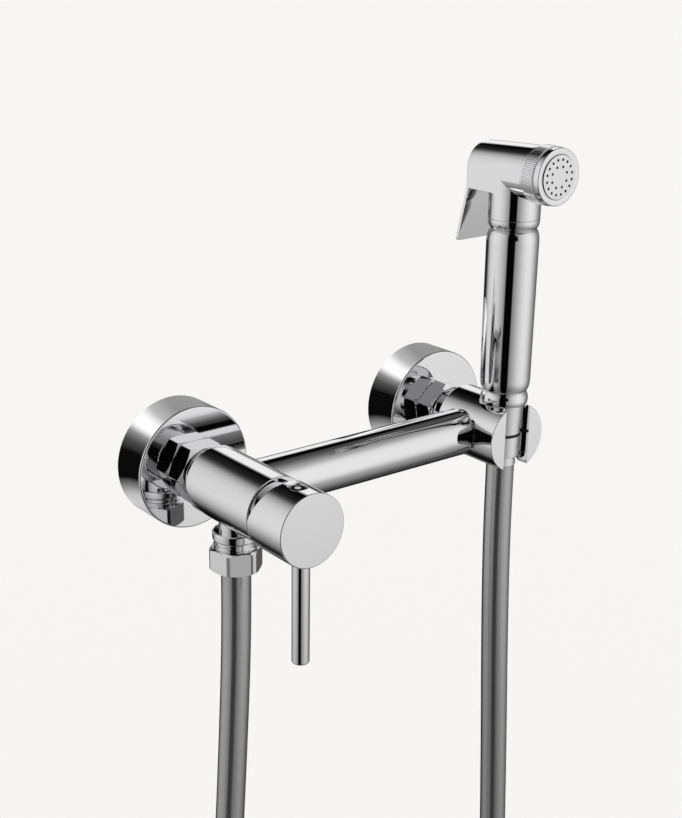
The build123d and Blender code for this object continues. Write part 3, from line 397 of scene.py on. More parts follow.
def finish(slot):
    """Material of one of the record's slots: grain in its tone and gloss, and a faint relief."""
    made = bpy.data.materials.get("finish_" + slot)
    if made:
        return made
    look = PLATING[slot]
    base = getattr(bpy.context.scene.mixer_finishes, COLOUR_OF[slot])
    made = bpy.data.materials.new("finish_" + slot)
    made.use_nodes = True
    tree = made.node_tree
    shader = tree.nodes["Principled BSDF"]
    shader.inputs["Metallic"].default_value = look["metal"]
    place = tree.nodes.new("ShaderNodeTexCoord")
    grain = node_of(tree, "ShaderNodeTexNoise", Scale=look["grain"], Detail=3.0)
    waves = node_of(tree, "ShaderNodeTexNoise", Scale=look["waves"], Detail=1.0)
    tree.links.new(place.outputs["Object"], grain.inputs["Vector"])
    tree.links.new(place.outputs["Object"], waves.inputs["Vector"])
    tone = tree.nodes.new("ShaderNodeValToRGB")
    dark = 1 - look["tone"]
    tone.color_ramp.elements[0].position = 0.3
    tone.color_ramp.elements[1].position = 0.7
    tone.color_ramp.elements[0].color = (base[0] * dark, base[1] * dark, base[2] * dark, 1)
    tone.color_ramp.elements[1].color = (*base, 1)
    tree.links.new(grain.outputs["Fac"], tone.inputs["Fac"])
    tree.links.new(tone.outputs["Color"], shader.inputs["Base Color"])
    gloss = tree.nodes.new("ShaderNodeMapRange")
    gloss.inputs["To Min"].default_value, gloss.inputs["To Max"].default_value = look["rough"]
    tree.links.new(grain.outputs["Fac"], gloss.inputs["Value"])
    tree.links.new(gloss.outputs["Result"], shader.inputs["Roughness"])
    bump = node_of(tree, "ShaderNodeBump", Strength=0.5, Distance=look["relief"])
    tree.links.new(waves.outputs["Fac"], bump.inputs["Height"])
    tree.links.new(bump.outputs["Normal"], shader.inputs["Normal"])
    return made


def arc(radius, height, wide, high, start, end, steps=10):
    """Profile points of a round or oval arc about a centre, between two angles in degrees."""
    turns = [math.radians(start + (end - start) * i / steps) for i in range(steps + 1)]
    return [(radius + wide * math.cos(a), height + high * math.sin(a)) for a in turns]


def front_edge(radius, height, edge, steps):
    """Profile of a rounded upper edge, from the side to the top."""
    return arc(radius - edge, height - edge, edge, edge, 0, 90, steps)


def back_edge(radius, height, edge, steps):
    """Profile of a rounded lower edge, from the bottom to the side."""
    return arc(radius - edge, height + edge, edge, edge, -90, 0, steps)


def turned(outline, steps=192):
    """Shape turned about Z from (radius, height) points. It is a ring where an end is off the axis."""
    bm = bmesh.new()
    verts = [bm.verts.new((r, 0, h)) for r, h in outline]
    ends = list(zip(verts, verts[1:]))
    if outline[0][0] > 0 or outline[-1][0] > 0:
        ends.append((verts[-1], verts[0]))
    edges = [bm.edges.new(pair) for pair in ends]
    bmesh.ops.spin(
        bm, geom=verts + edges, cent=(0, 0, 0), axis=(0, 0, 1), dvec=(0, 0, 0),
        angle=2 * math.pi, steps=steps, use_merge=True, use_duplicate=False,
    )
    return cleaned(bm)


def stepped(first, step, second):
    """Stepped pin that cuts a nut's bore: one radius below the step and another above it."""
    low, high = -0.001, 0.02
    return turned([(0, low), (first, low), (first, step), (second, step), (second, high), (0, high)])


def cleaned(bm):
    """Merges doubles, drops faces without area and points the faces outwards."""
    bmesh.ops.remove_doubles(bm, verts=bm.verts, dist=1e-7)
    bmesh.ops.dissolve_degenerate(bm, edges=bm.edges, dist=1e-8)
    bmesh.ops.recalc_face_normals(bm, faces=bm.faces)
    return bm


def moved(bm, x=0.0, out=0.0, height=0.0):
    bmesh.ops.translate(bm, vec=(x, -out, height), verts=bm.verts)
    return bm


def twisted(bm, turn, axis="Z"):
    bmesh.ops.rotate(bm, cent=(0, 0, 0), matrix=Matrix.Rotation(turn, 3, axis), verts=bm.verts)
    return bm


def from_wall(bm, x, height, out=0.0):
    """Lays a shape made about Z square to the wall."""
    return moved(twisted(bm, math.radians(90), "X"), x, out, height)


def along_wall(bm, out, height):
    """Lays a shape made about Z level along the wall."""
    return moved(twisted(bm, math.radians(90), "Y"), 0, out, height)


def of_kind(parts, kind):
    return [part for part in parts if isinstance(part, kind)]


def box(width, depth, height):
    bm = bmesh.new()
    bmesh.ops.create_cube(bm, size=1)
    bmesh.ops.scale(bm, vec=(width, depth, height), verts=bm.verts)
    return bm


def loose(bm):
    """Object of a shape that only helps to make another."""
    mesh = bpy.data.meshes.new("helper")
    bm.to_mesh(mesh)
    bm.free()
    obj = bpy.data.objects.new("helper", mesh)
    bpy.context.scene.collection.objects.link(obj)
    return obj


def combined(bm, *tools, operation="DIFFERENCE"):
    """The shape less the tools' shapes, or with them, or what they share."""
    helpers = [loose(bm)]
    for tool in tools:
        helpers.append(loose(tool))
        change = helpers[0].modifiers.new("change", "BOOLEAN")
        change.operation = operation
        change.solver = "EXACT"
        change.object = helpers[-1]
    seen = bpy.context.evaluated_depsgraph_get()
    mesh = bpy.data.meshes.new_from_object(helpers[0].evaluated_get(seen))
    result = bmesh.new()
    result.from_mesh(mesh)
    bpy.data.meshes.remove(mesh)
    if not result.faces or not all(e.is_manifold for e in result.edges):
        raise RuntimeError("a shape was torn when it was cut")
    for helper in helpers:
        mesh = helper.data
        bpy.data.objects.remove(helper)
        bpy.data.meshes.remove(mesh)
    return result


def finished(bm, name, slot, body, *nodes, sharp=28):
    """Gives a shape its object, finish and body, and hides the CAD nodes that it stands for."""
    cleaned(bm)
    mesh = bpy.data.meshes.new(name)
    bm.to_mesh(mesh)
    bm.free()
    mesh.shade_smooth()
    mesh.set_sharp_from_angle(angle=math.radians(sharp))
    mesh.materials.append(finish(slot))
    obj = bpy.data.objects.new(name, mesh)
    bpy.context.scene.collection.objects.link(obj)
    even = obj.modifiers.new("even_normals", "WEIGHTED_NORMAL")
    even.keep_sharp = True
    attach(obj, body)
    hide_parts(*nodes)
    return obj


def paint_hole_shade(obj, chosen):
    """Paints shade into small holes: gives their walls the dark rubber finish as painted shadow, in place of
    their own metal.
    """
    # Painted shade: the rubber finish stands in for the shadow that fills the hole
    obj.data.materials.append(finish("rubber"))
    for face in obj.data.polygons:
        if chosen(face):
            face.material_index = 1


def hexagon(corner, tall, edge, steps):
    """Hexagonal bar on the origin with its long edges broken and its corners turned off at both ends."""
    spare = 0.001
    bm = bmesh.new()
    turn = Matrix.Rotation(math.pi / 6, 4, "Z")
    bmesh.ops.create_circle(bm, segments=6, radius=corner, cap_ends=True, matrix=turn)
    up = bmesh.ops.extrude_face_region(bm, geom=list(bm.faces))["geom"]
    bmesh.ops.translate(bm, vec=(0, 0, -spare), verts=bm.verts)
    bmesh.ops.translate(bm, vec=(0, 0, tall + 2 * spare), verts=of_kind(up, bmesh.types.BMVert))
    long_edges = [e for e in bm.edges if abs(e.verts[0].co.z - e.verts[1].co.z) > tall / 2]
    bmesh.ops.bevel(
        bm, geom=long_edges, offset=edge, offset_type="OFFSET", segments=steps, profile=0.5, affect="EDGES",
        material=-1,
    )
    cleaned(bm)
    margin = 0.0002
    face = corner * math.cos(math.pi / 6) - margin
    outer = corner + margin
    fall = (outer - face) * math.tan(math.radians(30))
    envelope = turned([(0, 0), (face, 0), (outer, fall), (outer, tall - fall), (face, tall), (0, tall)], 256)
    return combined(bm, envelope, operation="INTERSECT")


class MIXER_OT_wall_flanges(bpy.types.Operator):
    """Turn the two round wall flanges"""

    bl_idname = "mixer.wall_flanges"
    bl_label = "Wall flanges"

    def execute(self, context):
        place, size = context.scene.mixer_layout, context.scene.mixer_wall
        inner = size.flange_radius - size.flange_wall
        face = size.flange_depth - size.face_thickness
        outline = [(size.flange_radius, 0)]
        outline += front_edge(size.flange_radius, size.flange_depth, size.flange_edge, 6)
        outline += [(size.flange_hole, size.flange_depth), (size.flange_hole, face)]
        outline += [(inner, face), (inner, 0)]
        for side, x in (("left", place.left_x), ("right", place.right_x)):
            flange = from_wall(turned(outline, 256), x, place.axis_height)
            finished(flange, side + "_wall_flange", "chrome", "root", "wall_flange_" + side)
        return {"FINISHED"}


class MIXER_OT_unions(bpy.types.Operator):
    """Make the union nuts and the inlet tails with their bosses"""

    bl_idname = "mixer.unions"
    bl_label = "Union nuts and inlet tails"

    def execute(self, context):
        place, size = context.scene.mixer_layout, context.scene.mixer_wall
        castings = (("left", place.left_x, context.scene.mixer_valve.body_back, 0.0),
                    ("right", place.right_x, context.scene.mixer_holder.back, size.right_nut_turn))
        lip = size.nut_length - size.nut_lip
        for side, x, casting, turn in castings:
            bore = stepped(size.nut_bore, lip, size.lip_bore)
            nut = combined(hexagon(size.nut_corner, size.nut_length, size.nut_edge, 3), bore)
            nut = from_wall(twisted(nut, turn), x, place.axis_height, size.nut_back)
            finished(nut, side + "_union_nut", "chrome", "root", "union_nut_" + side)
            collar = size.nut_back + lip - 2 * FIT
            collar_back = collar - size.tail_collar_length
            spigot = casting + size.spigot_length
            edge = 0.0003
            tail = turned([
                (size.tail_bore, collar_back),
                (size.tail_collar, collar_back),
                (size.tail_collar, collar),
                (size.neck_radius, collar),
                (size.neck_radius, size.boss_back),
                (size.boss_radius - edge, size.boss_back),
                (size.boss_radius, size.boss_back + edge),
                (size.boss_radius, casting),
                (size.spigot_radius, casting),
                (size.spigot_radius, spigot),
                (size.tail_bore, spigot),
            ])
            tail = from_wall(tail, x, place.axis_height)
            finished(tail, side + "_inlet_tail", "chrome", "root", "inlet_tail_" + side)
        return {"FINISHED"}


def pocket(wall, back):
    """Profile of the pocket for the inlet tail's spigot in a casting's back."""
    radius, floor = wall.spigot_radius + FIT, back + wall.spigot_length + FIT
    return [(0, floor), (radius, floor), (radius, back)]


class MIXER_OT_valve_body(bpy.types.Operator):
    """Turn the valve body with its chamber"""

    bl_idname = "mixer.valve_body"
    bl_label = "Valve body"

    def execute(self, context):
        place, size = context.scene.mixer_layout, context.scene.mixer_valve
        wall = context.scene.mixer_wall
        edge = size.body_edge
        floor = size.body_front - size.chamber_depth
        seat = size.body_front - size.seat_depth
        outline = pocket(wall, size.body_back)
        outline += back_edge(size.body_radius, size.body_back, edge, 5)
        outline += front_edge(size.body_radius, size.body_front, edge, 5)
        outline += [
            (size.seat_radius, size.body_front),
            (size.seat_radius, seat),
            (size.chamber_radius, seat),
            (size.chamber_radius, floor),
            (0, floor),
        ]
        body = from_wall(turned(outline, 256), place.left_x, place.axis_height)
        finished(body, "valve_casting", "chrome", "root", "valve_body")
        return {"FINISHED"}


class MIXER_OT_crossbar(bpy.types.Operator):
    """Turn the crossbar and fit its left end to the valve body"""

    bl_idname = "mixer.crossbar"
    bl_label = "Crossbar"

    def execute(self, context):
        place, size = context.scene.mixer_layout, context.scene.mixer_valve
        start = place.left_x + 0.001
        edge = 0.00015
        outline = [(size.bar_bore, start), (size.bar_radius, start)]
        outline += front_edge(size.bar_radius, size.bar_end, edge, 3)
        outline += [(size.bar_bore, size.bar_end)]
        bar = turned(outline, 192)
        for vert in bar.verts:
            if vert.co.z < start + 1e-5:
                saddle = size.body_radius ** 2 - vert.co.x ** 2
                vert.co.z = place.left_x + math.sqrt(saddle)
        bar = along_wall(bar, place.bar_out, place.axis_height)
        finished(bar, "joining_bar", "chrome", "root", "crossbar")
        return {"FINISHED"}


class MIXER_OT_outlet(bpy.types.Operator):
    """Make the outlet's collar, its thread and the hose nut"""

    bl_idname = "mixer.outlet"
    bl_label = "Outlet and hose nut"

    def execute(self, context):
        place, size = context.scene.mixer_layout, context.scene.mixer_valve
        low = -size.body_radius - size.collar_length
        root = size.thread_radius - size.thread_depth
        thread_top = low - size.thread_gap
        thread_bottom = thread_top - size.thread_length
        lower, upper = size.collar_round, size.collar_top_round
        high = low + size.collar_height
        top = -size.nipple_top
        outline = [(size.outlet_bore, top), (size.waist_radius, top), (size.waist_radius, high)]
        outline += arc(size.collar_radius - upper, high - upper, upper, upper, 90, 0, 6)
        outline += arc(size.collar_radius - lower, low + lower, lower, lower, 0, -90, 8)
        outline += [(root, low), (root, thread_bottom), (size.outlet_bore, thread_bottom)]
        nipple = turned(outline)
        reach = 0.1
        body = turned([(0, 0), (size.body_radius, 0), (size.body_radius, reach), (0, reach)], 256)
        nipple = combined(nipple, moved(from_wall(body, 0, 0), 0, -place.outlet_out))
        self.add_thread(nipple, size, root, thread_top - 0.0002, thread_bottom + 0.0002)
        nipple = moved(nipple, place.left_x, place.outlet_out, place.axis_height)
        finished(nipple, "outlet_collar", "chrome", "root", "outlet_nipple")
        bore = stepped(size.hose_nut_hole, size.hose_nut_lip, size.hose_nut_bore)
        nut = combined(hexagon(size.hose_nut_corner, size.hose_nut_length, size.hose_nut_edge, 1), bore)
        height = place.axis_height - size.hose_nut_top - size.hose_nut_length
        nut = moved(twisted(nut, size.hose_nut_turn), place.left_x, place.outlet_out, height)
        finished(nut, "hexagonal_hose_nut", "chrome", "root", "hose_nut")
        return {"FINISHED"}

    def add_thread(self, bm, size, root, top, bottom):
        """Winds one V thread round the outlet."""
        turns = (top - bottom) / size.thread_pitch - 0.7
        half = size.thread_pitch * 0.46
        sunk = root - 0.0003
        corners = ((sunk, -half), (size.thread_radius, -0.0001), (size.thread_radius, 0.0001), (sunk, half))
        verts = [bm.verts.new((r, 0, bottom + half + h)) for r, h in corners]
        edges = [bm.edges.new(pair) for pair in zip(verts, verts[1:] + verts[:1])]
        face = bm.faces.new(verts)
        steps = int(96 * turns)
        bmesh.ops.spin(
            bm, geom=verts + edges + [face], cent=(0, 0, 0), axis=(0, 0, 1),
            dvec=(0, 0, size.thread_pitch * turns / steps), angle=2 * math.pi * turns, steps=steps,
        )


class MIXER_OT_lever(bpy.types.Operator):
    """Make the lever's cap, the screw in its recess and the rod"""

    bl_idname = "mixer.lever"
    bl_label = "Lever"

    def execute(self, context):
        place, size = context.scene.mixer_layout, context.scene.mixer_lever
        depth = size.cap_back + size.cavity_depth
        outline = [(0, depth), (size.cavity_radius, depth), (size.cavity_radius, size.cap_back)]
        outline += back_edge(size.cap_radius, size.cap_back, size.back_edge, 3)
        outline += front_edge(size.cap_radius, size.cap_front, size.cap_edge, 5)
        outline += [(0, size.cap_front)]
        cap = from_wall(turned(outline, 256), 0, 0)
        slope = size.cap_slope
        cut = bmesh.ops.bisect_plane(
            cap, geom=list(cap.verts) + list(cap.edges) + list(cap.faces), dist=1e-7,
            plane_co=(0, -size.cap_back, 0), plane_no=(0, math.cos(slope), math.sin(slope)), clear_outer=True,
        )["geom_cut"]
        bmesh.ops.holes_fill(cap, edges=of_kind(cut, bmesh.types.BMEdge), sides=0)
        cleaned(cap)
        top = size.cap_radius
        floor = top - size.recess_depth
        above = top + 0.005
        recess = turned([
            (0, floor),
            (size.recess_radius, floor),
            (size.recess_radius, top - 2 * size.recess_rim),
            (size.recess_radius + size.recess_rim, top),
            (size.recess_radius + size.recess_rim, above),
            (0, above),
        ], 96)
        hole = size.rod_radius + FIT
        below = -0.03
        seat = turned([(0, below), (hole, below), (hole, -size.rod_top), (0, -size.rod_top)], 96)
        cap = combined(cap, moved(recess, 0, size.screw_out), moved(seat, 0, size.rod_out))
        cap = moved(cap, place.left_x, 0, place.axis_height)
        cap = finished(cap, "lever_cap", "chrome", "lever", "handle_cap")
        centre = Vector((place.left_x, -size.screw_out))
        # Painted shade: the recess's chrome walls get the dark rubber finish as the shadow inside them
        paint_hole_shade(cap, lambda face: (
            abs(face.normal.z) < 0.3 and face.center.z > place.axis_height
            and (face.center.xy - centre).length < size.recess_radius + 2 * FIT
        ))
        low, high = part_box("grub_screw")
        foot, shank = low.z - place.axis_height, (high.x - low.x) / 2
        rim = top - size.screw_sink
        groove = rim - size.screw_groove
        inside = size.screw_head - size.screw_ring
        screw = turned([
            (0, foot),
            (shank, foot),
            (shank, floor + 2 * FIT),
            (size.screw_head, floor + 2 * FIT),
            (size.screw_head, rim - 0.0002),
            (size.screw_head - 0.0003, rim),
            (inside, rim - 0.0003),
            (inside, groove),
            (size.screw_pin, groove),
            (size.screw_pin, rim - 0.0001),
            (0, rim - 0.0001),
        ], 96)
        screw = moved(screw, place.left_x, size.screw_out, place.axis_height)
        screw = finished(screw, "cap_screw", "stainless", "lever", "grub_screw")
        # Painted shade: the groove round the screw's pin gets the dark rubber finish as the shadow in it
        low, high = place.axis_height + groove - 0.00001, place.axis_height + rim - 0.0002
        paint_hole_shade(screw, lambda face: (
            low < face.center.z < high and (face.center.xy - centre).length < inside + 0.0002
        ))
        tip = -size.rod_tip
        rod = turned(
            [(0, tip)]
            + back_edge(size.rod_radius, tip, size.rod_round, 6)
            + [(size.rod_radius, -size.rod_top), (0, -size.rod_top)],
            128,
        )
        rod = moved(rod, place.left_x, size.rod_out, place.axis_height)
        finished(rod, "lever_pin_handle", "chrome", "lever", "lever_rod")
        return {"FINISHED"}


class MIXER_OT_valve_rings(bpy.types.Operator):
    """Make the serrated retaining nut and the cover ring behind the cap"""

    bl_idname = "mixer.valve_rings"
    bl_label = "Retaining nut and cover ring"

    def execute(self, context):
        place, size, valve = context.scene.mixer_layout, context.scene.mixer_lever, context.scene.mixer_valve
        front = valve.body_front + size.crown_length
        back = valve.body_front - valve.seat_depth + FIT
        inner = size.crown_radius - size.serration - 0.0004
        thread = valve.seat_radius - 0.00008
        crown = turned([
            (size.crown_bore, size.crown_floor),
            (size.crown_bore, front),
            (inner, front),
            (size.crown_radius, front - 0.0003),
            (size.crown_radius, valve.body_front),
            (thread, valve.body_front),
            (thread, back),
            (size.crown_seat, back),
            (size.crown_seat, size.crown_floor),
        ], 4 * size.crown_teeth)
        notch(crown, size.crown_radius, size.serration, 4 * size.crown_teeth)
        crown = from_wall(crown, place.left_x, place.axis_height)
        finished(crown, "serrated_nut", "chrome", "root", "retaining_nut")
        low = valve.body_front + FIT
        high = low + size.cover_length
        inner = size.crown_radius + FIT
        edge = 0.0002
        cover = turned(
            [(inner, low), (size.cover_radius, low)]
            + front_edge(size.cover_radius, high, edge, 3)
            + [(inner, high)],
            256,
        )
        cover = from_wall(cover, place.left_x, place.axis_height)
        finished(cover, "cover_band", "chrome", "root", "cover_ring")
        return {"FINISHED"}


def notch(bm, radius, depth, steps):
    """Presses straight V notches into the outermost ring of a turned shape, one to every four steps."""
    for vert in bm.verts:
        reach = math.hypot(vert.co.x, vert.co.y)
        if abs(reach - radius) < 1e-5:
            turn = round(math.atan2(vert.co.y, vert.co.x) / (2 * math.pi) * steps) % 4
            share = (reach - depth * (0, 0, 1, 0)[turn]) / reach
            vert.co.x *= share
            vert.co.y *= share


class MIXER_OT_holder(bpy.types.Operator):
    """Make the holder with its conical socket and slot"""

    bl_idname = "mixer.holder"
    bl_label = "Holder"

    def execute(self, context):
        place, size, spray = context.scene.mixer_layout, context.scene.mixer_holder, context.scene.mixer_spray
        valve = context.scene.mixer_valve
        outline = pocket(context.scene.mixer_wall, size.back)
        outline += back_edge(size.radius, size.back, valve.body_edge, 5)
        outline += front_edge(size.radius, size.front, size.edge, 4)
        outline += [(0, size.front)]
        casting = from_wall(turned(outline, 320), 0, 0)
        top = size.radius
        gap = size.socket_gap
        socket = turned([
            (0, top + 0.002),
            (size.mouth_radius, top + 0.002),
            (size.mouth_radius, top),
            (spray.cone_top_radius + gap, top - size.mouth_depth),
            (spray.cone_ring_radius + gap, spray.cone_ring_top),
            (spray.cone_bottom_radius + gap, spray.cone_bottom),
            (spray.cone_bottom_radius + gap, -top - 0.002),
            (0, -top - 0.002),
        ], 256)
        slot = moved(box(size.slot_width, 0.04, 0.05), 0, place.spray_out + 0.02)
        casting = combined(casting, moved(socket, 0, place.spray_out), slot)
        start = valve.bar_end + size.shoulder_gap
        spigot = valve.bar_bore - FIT
        spigot_start = start - size.spigot_length
        shoulder = turned([
            (0, spigot_start),
            (spigot, spigot_start),
            (spigot, start),
            (size.shoulder_radius, start),
            (size.shoulder_radius, place.right_x - size.radius / 2),
            (0, place.right_x - size.radius / 2),
        ])
        shoulder = along_wall(shoulder, place.bar_out, 0)
        casting = combined(moved(casting, place.right_x), shoulder, operation="UNION")
        finished(moved(casting, 0, 0, place.axis_height), "spray_holder", "chrome", "root", "holder_block")
        return {"FINISHED"}


class MIXER_OT_cone_nut(bpy.types.Operator):
    """Turn the conical nut, its black ring and the hose's ferrule"""

    bl_idname = "mixer.cone_nut"
    bl_label = "Conical nut and ferrule"

    def execute(self, context):
        place, size = context.scene.mixer_layout, context.scene.mixer_spray
        ring_top, ring_radius = size.cone_ring_top, size.cone_ring_radius
        ring_bottom = ring_top - size.cone_ring_width
        slope = (ring_radius - size.cone_bottom_radius) / (ring_top - size.cone_bottom)
        groove = ring_radius - 0.0007
        edge = 0.0003
        nut = turned(
            [(size.cone_bore, size.cone_top)]
            + front_edge(size.cone_top_radius, size.cone_top, edge, 4)[::-1]
            + [
                (ring_radius, ring_top),
                (groove, ring_top),
                (groove, ring_bottom),
                (ring_radius - slope * size.cone_ring_width, ring_bottom),
            ]
            + back_edge(size.cone_bottom_radius, size.cone_bottom, edge, 4)[::-1]
            + [
                (size.cone_hole, size.cone_bottom),
                (size.cone_hole, size.cone_floor),
                (size.cone_bore, size.cone_floor),
            ]
        )
        upright(nut, place, "conical_nut", "chrome", "handset", "cone_nut")
        middle_height = (ring_top + ring_bottom) / 2
        half = size.cone_ring_width / 2 - FIT
        band = turned([(groove, middle_height - half)] + arc(
            ring_radius - 0.0005, middle_height, 0.0004, half, -90, 90, 8) + [(groove, middle_height + half)])
        upright(band, place, "black_ring", "rubber", "handset", "cone_ring")
        edge = 0.0004
        flange = size.cone_floor + 2 * FIT
        ferrule = turned(
            [(size.water_bore, size.ferrule_bottom)]
            + back_edge(size.ferrule_radius, size.ferrule_bottom, edge, 5)
            + [
                (size.ferrule_radius, size.ferrule_top),
                (size.ferrule_neck, size.ferrule_top),
                (size.ferrule_neck, flange),
                (size.ferrule_flange, flange),
                (size.ferrule_flange, size.ferrule_flange_top),
                (size.water_bore, size.ferrule_flange_top),
            ]
        )
        upright(ferrule, place, "hose_ferrule", "chrome", "hose_end", "hose_end")
        return {"FINISHED"}


def upright(bm, place, name, slot, body, *nodes, sharp=28):
    """Stands a shape on the hand spray's axis and finishes it."""
    bm = moved(bm, place.right_x, place.spray_out, place.axis_height)
    return finished(bm, name, slot, body, *nodes, sharp=sharp)


class MIXER_OT_spray_handle(bpy.types.Operator):
    """Turn the hand spray's end piece and sleeve"""

    bl_idname = "mixer.spray_handle"
    bl_label = "Hand spray's handle"

    def execute(self, context):
        place, size = context.scene.mixer_layout, context.scene.mixer_spray
        spigot_top = size.sleeve_bottom + size.end_spigot_length
        tube_floor = spigot_top - size.tube_seat_depth
        low_turn = math.degrees(math.asin((size.end_bottom - size.end_bow_height) / size.end_bow))
        high_turn = math.degrees(math.asin((size.end_top - size.end_bow_height) / size.end_bow))
        bow = size.end_bow
        side = arc(size.end_bow_radius, size.end_bow_height, bow, bow, low_turn, high_turn, 20)
        end = turned(side + [
            (size.end_spigot, size.end_top),
            (size.end_spigot, spigot_top),
            (size.tube_seat, spigot_top),
            (size.tube_seat, tube_floor),
            (size.water_bore, tube_floor),
            (size.water_bore, size.end_foot),
            (size.end_thread, size.end_foot),
            (size.end_thread, size.end_bottom),
        ])
        upright(end, place, "handle_end", "chrome", "handset", "spray_end")
        low = size.sleeve_bottom + size.sleeve_round
        high = size.sleeve_top - size.sleeve_round
        waist = size.waist_radius
        outline = arc(waist, low, size.sleeve_low_radius - waist, size.sleeve_round, -90, 0, 20)
        outline += arc(waist, high, size.sleeve_high_radius - waist, size.sleeve_round, 0, 90, 20)
        seat = size.end_spigot + FIT
        low = size.sleeve_bottom + size.sleeve_seat
        high = size.sleeve_top - size.sleeve_seat
        outline += [
            (seat, size.sleeve_top),
            (seat, high),
            (size.sleeve_bore, high - size.sleeve_step),
            (size.sleeve_bore, low + size.sleeve_step),
            (seat, low),
            (seat, size.sleeve_bottom),
        ]
        upright(turned(outline), place, "handle_tube", "chrome", "handset", "handle_sleeve")
        return {"FINISHED"}


class MIXER_OT_spray_head(bpy.types.Operator):
    """Make the neck with its skirt, and the barrel that rises toward the nozzle"""

    bl_idname = "mixer.spray_head"
    bl_label = "Hand spray's head"

    def execute(self, context):
        place, size = context.scene.mixer_layout, context.scene.mixer_spray
        back, front, edge = -size.head_back, size.head_front, 0.0003
        gland_floor = back + size.gland_depth
        outline = [(0, gland_floor), (size.gland_radius, gland_floor), (size.gland_radius, back)]
        outline += back_edge(size.barrel_back_radius, back, edge, 4)
        growth = size.barrel_front_radius - size.barrel_back_radius
        for i in range(1, 13):
            share = i / 12
            radius = size.barrel_back_radius + growth * (1 - (1 - share) ** 1.5)
            outline.append((radius, back + edge + (front - back - edge) * share))
        thread_end = front + size.head_thread_length
        outline += [
            (size.head_thread, front),
            (size.head_thread, thread_end),
            (size.head_bore, thread_end),
            (size.head_bore, size.head_floor),
            (0, size.head_floor),
        ]
        barrel = from_wall(turned(outline, 256), 0, 0)
        skin = size.head_thread + 0.0003
        for vert in barrel.verts:
            if math.hypot(vert.co.x, vert.co.z) > skin:
                vert.co.x = max(-size.head_radius, min(size.head_radius, vert.co.x))
                vert.co.z -= size.barrel_drop * (front + vert.co.y) / (front - back)
        head = combined(barrel, self.neck(place, size), operation="UNION")
        tall = 0.006
        slot = box(size.slot_width, 0.0042, tall)
        slot = moved(slot, 0, back + 0.0019, -size.pin_drop + size.slot_rise - tall / 2)
        head = combined(head, slot)
        head = moved(head, place.right_x, place.spray_out, place.head_height)
        finished(head, "spray_barrel", "chrome", "handset", "spray_head")
        return {"FINISHED"}

    def neck(self, place, size):
        """Round neck whose upper part runs back to the barrel's end as a skirt with straight sides."""
        radius = size.head_radius
        rise = place.head_height - place.axis_height
        round_low = size.sleeve_top + size.neck_round - rise
        seam = size.sleeve_top + size.seam_rise - rise
        spigot = size.sleeve_top - size.end_spigot_length - rise
        ledge = -size.skirt_drop - size.skirt_fillet
        outline = [(0, spigot), (size.end_spigot, spigot), (size.end_spigot, size.sleeve_top - rise)]
        outline += arc(size.waist_radius, round_low, radius - size.waist_radius, size.neck_round, -90, 0, 16)
        outline += [
            (radius, seam - size.seam_depth),
            (radius - size.seam_depth, seam),
            (radius, seam + size.seam_depth),
            (radius, ledge),
            (radius, 0),
            (0, 0),
        ]
        neck = turned(outline, 256)
        wall = [f for f in neck.faces if self.behind(f.calc_center_median(), radius, ledge)]
        steps = 6
        deep = 1.5 * size.skirt_fillet
        for i in range(1, steps + 2):
            grown = bmesh.ops.extrude_face_region(neck, geom=wall)["geom"]
            bmesh.ops.delete(neck, geom=[f for f in wall if f.is_valid], context="FACES_ONLY")
            wall = of_kind(grown, bmesh.types.BMFace)
            turn = math.radians(90 * min(i, steps) / steps)
            height = ledge + size.skirt_fillet * math.sin(turn)
            before = deep * (1 - math.cos(math.radians(90 * (i - 1) / steps)))
            after = deep * (1 - math.cos(turn))
            for vert in {v for f in wall for v in f.verts}:
                if vert.co.z < -0.001:
                    vert.co.z = height
                vert.co.y = vert.co.y + after - before if i <= steps else size.head_back
        for vert in neck.verts:
            if abs(abs(vert.co.x) - radius) < 2e-6:
                vert.co.x = math.copysign(radius, vert.co.x)
        return cleaned(neck)

    def behind(self, spot, radius, ledge):
        """Tells whether a spot is on the part of the neck's wall that the skirt grows from."""
        return spot.y > 0 and ledge < spot.z < 0 and math.hypot(spot.x, spot.y) > radius * 0.99


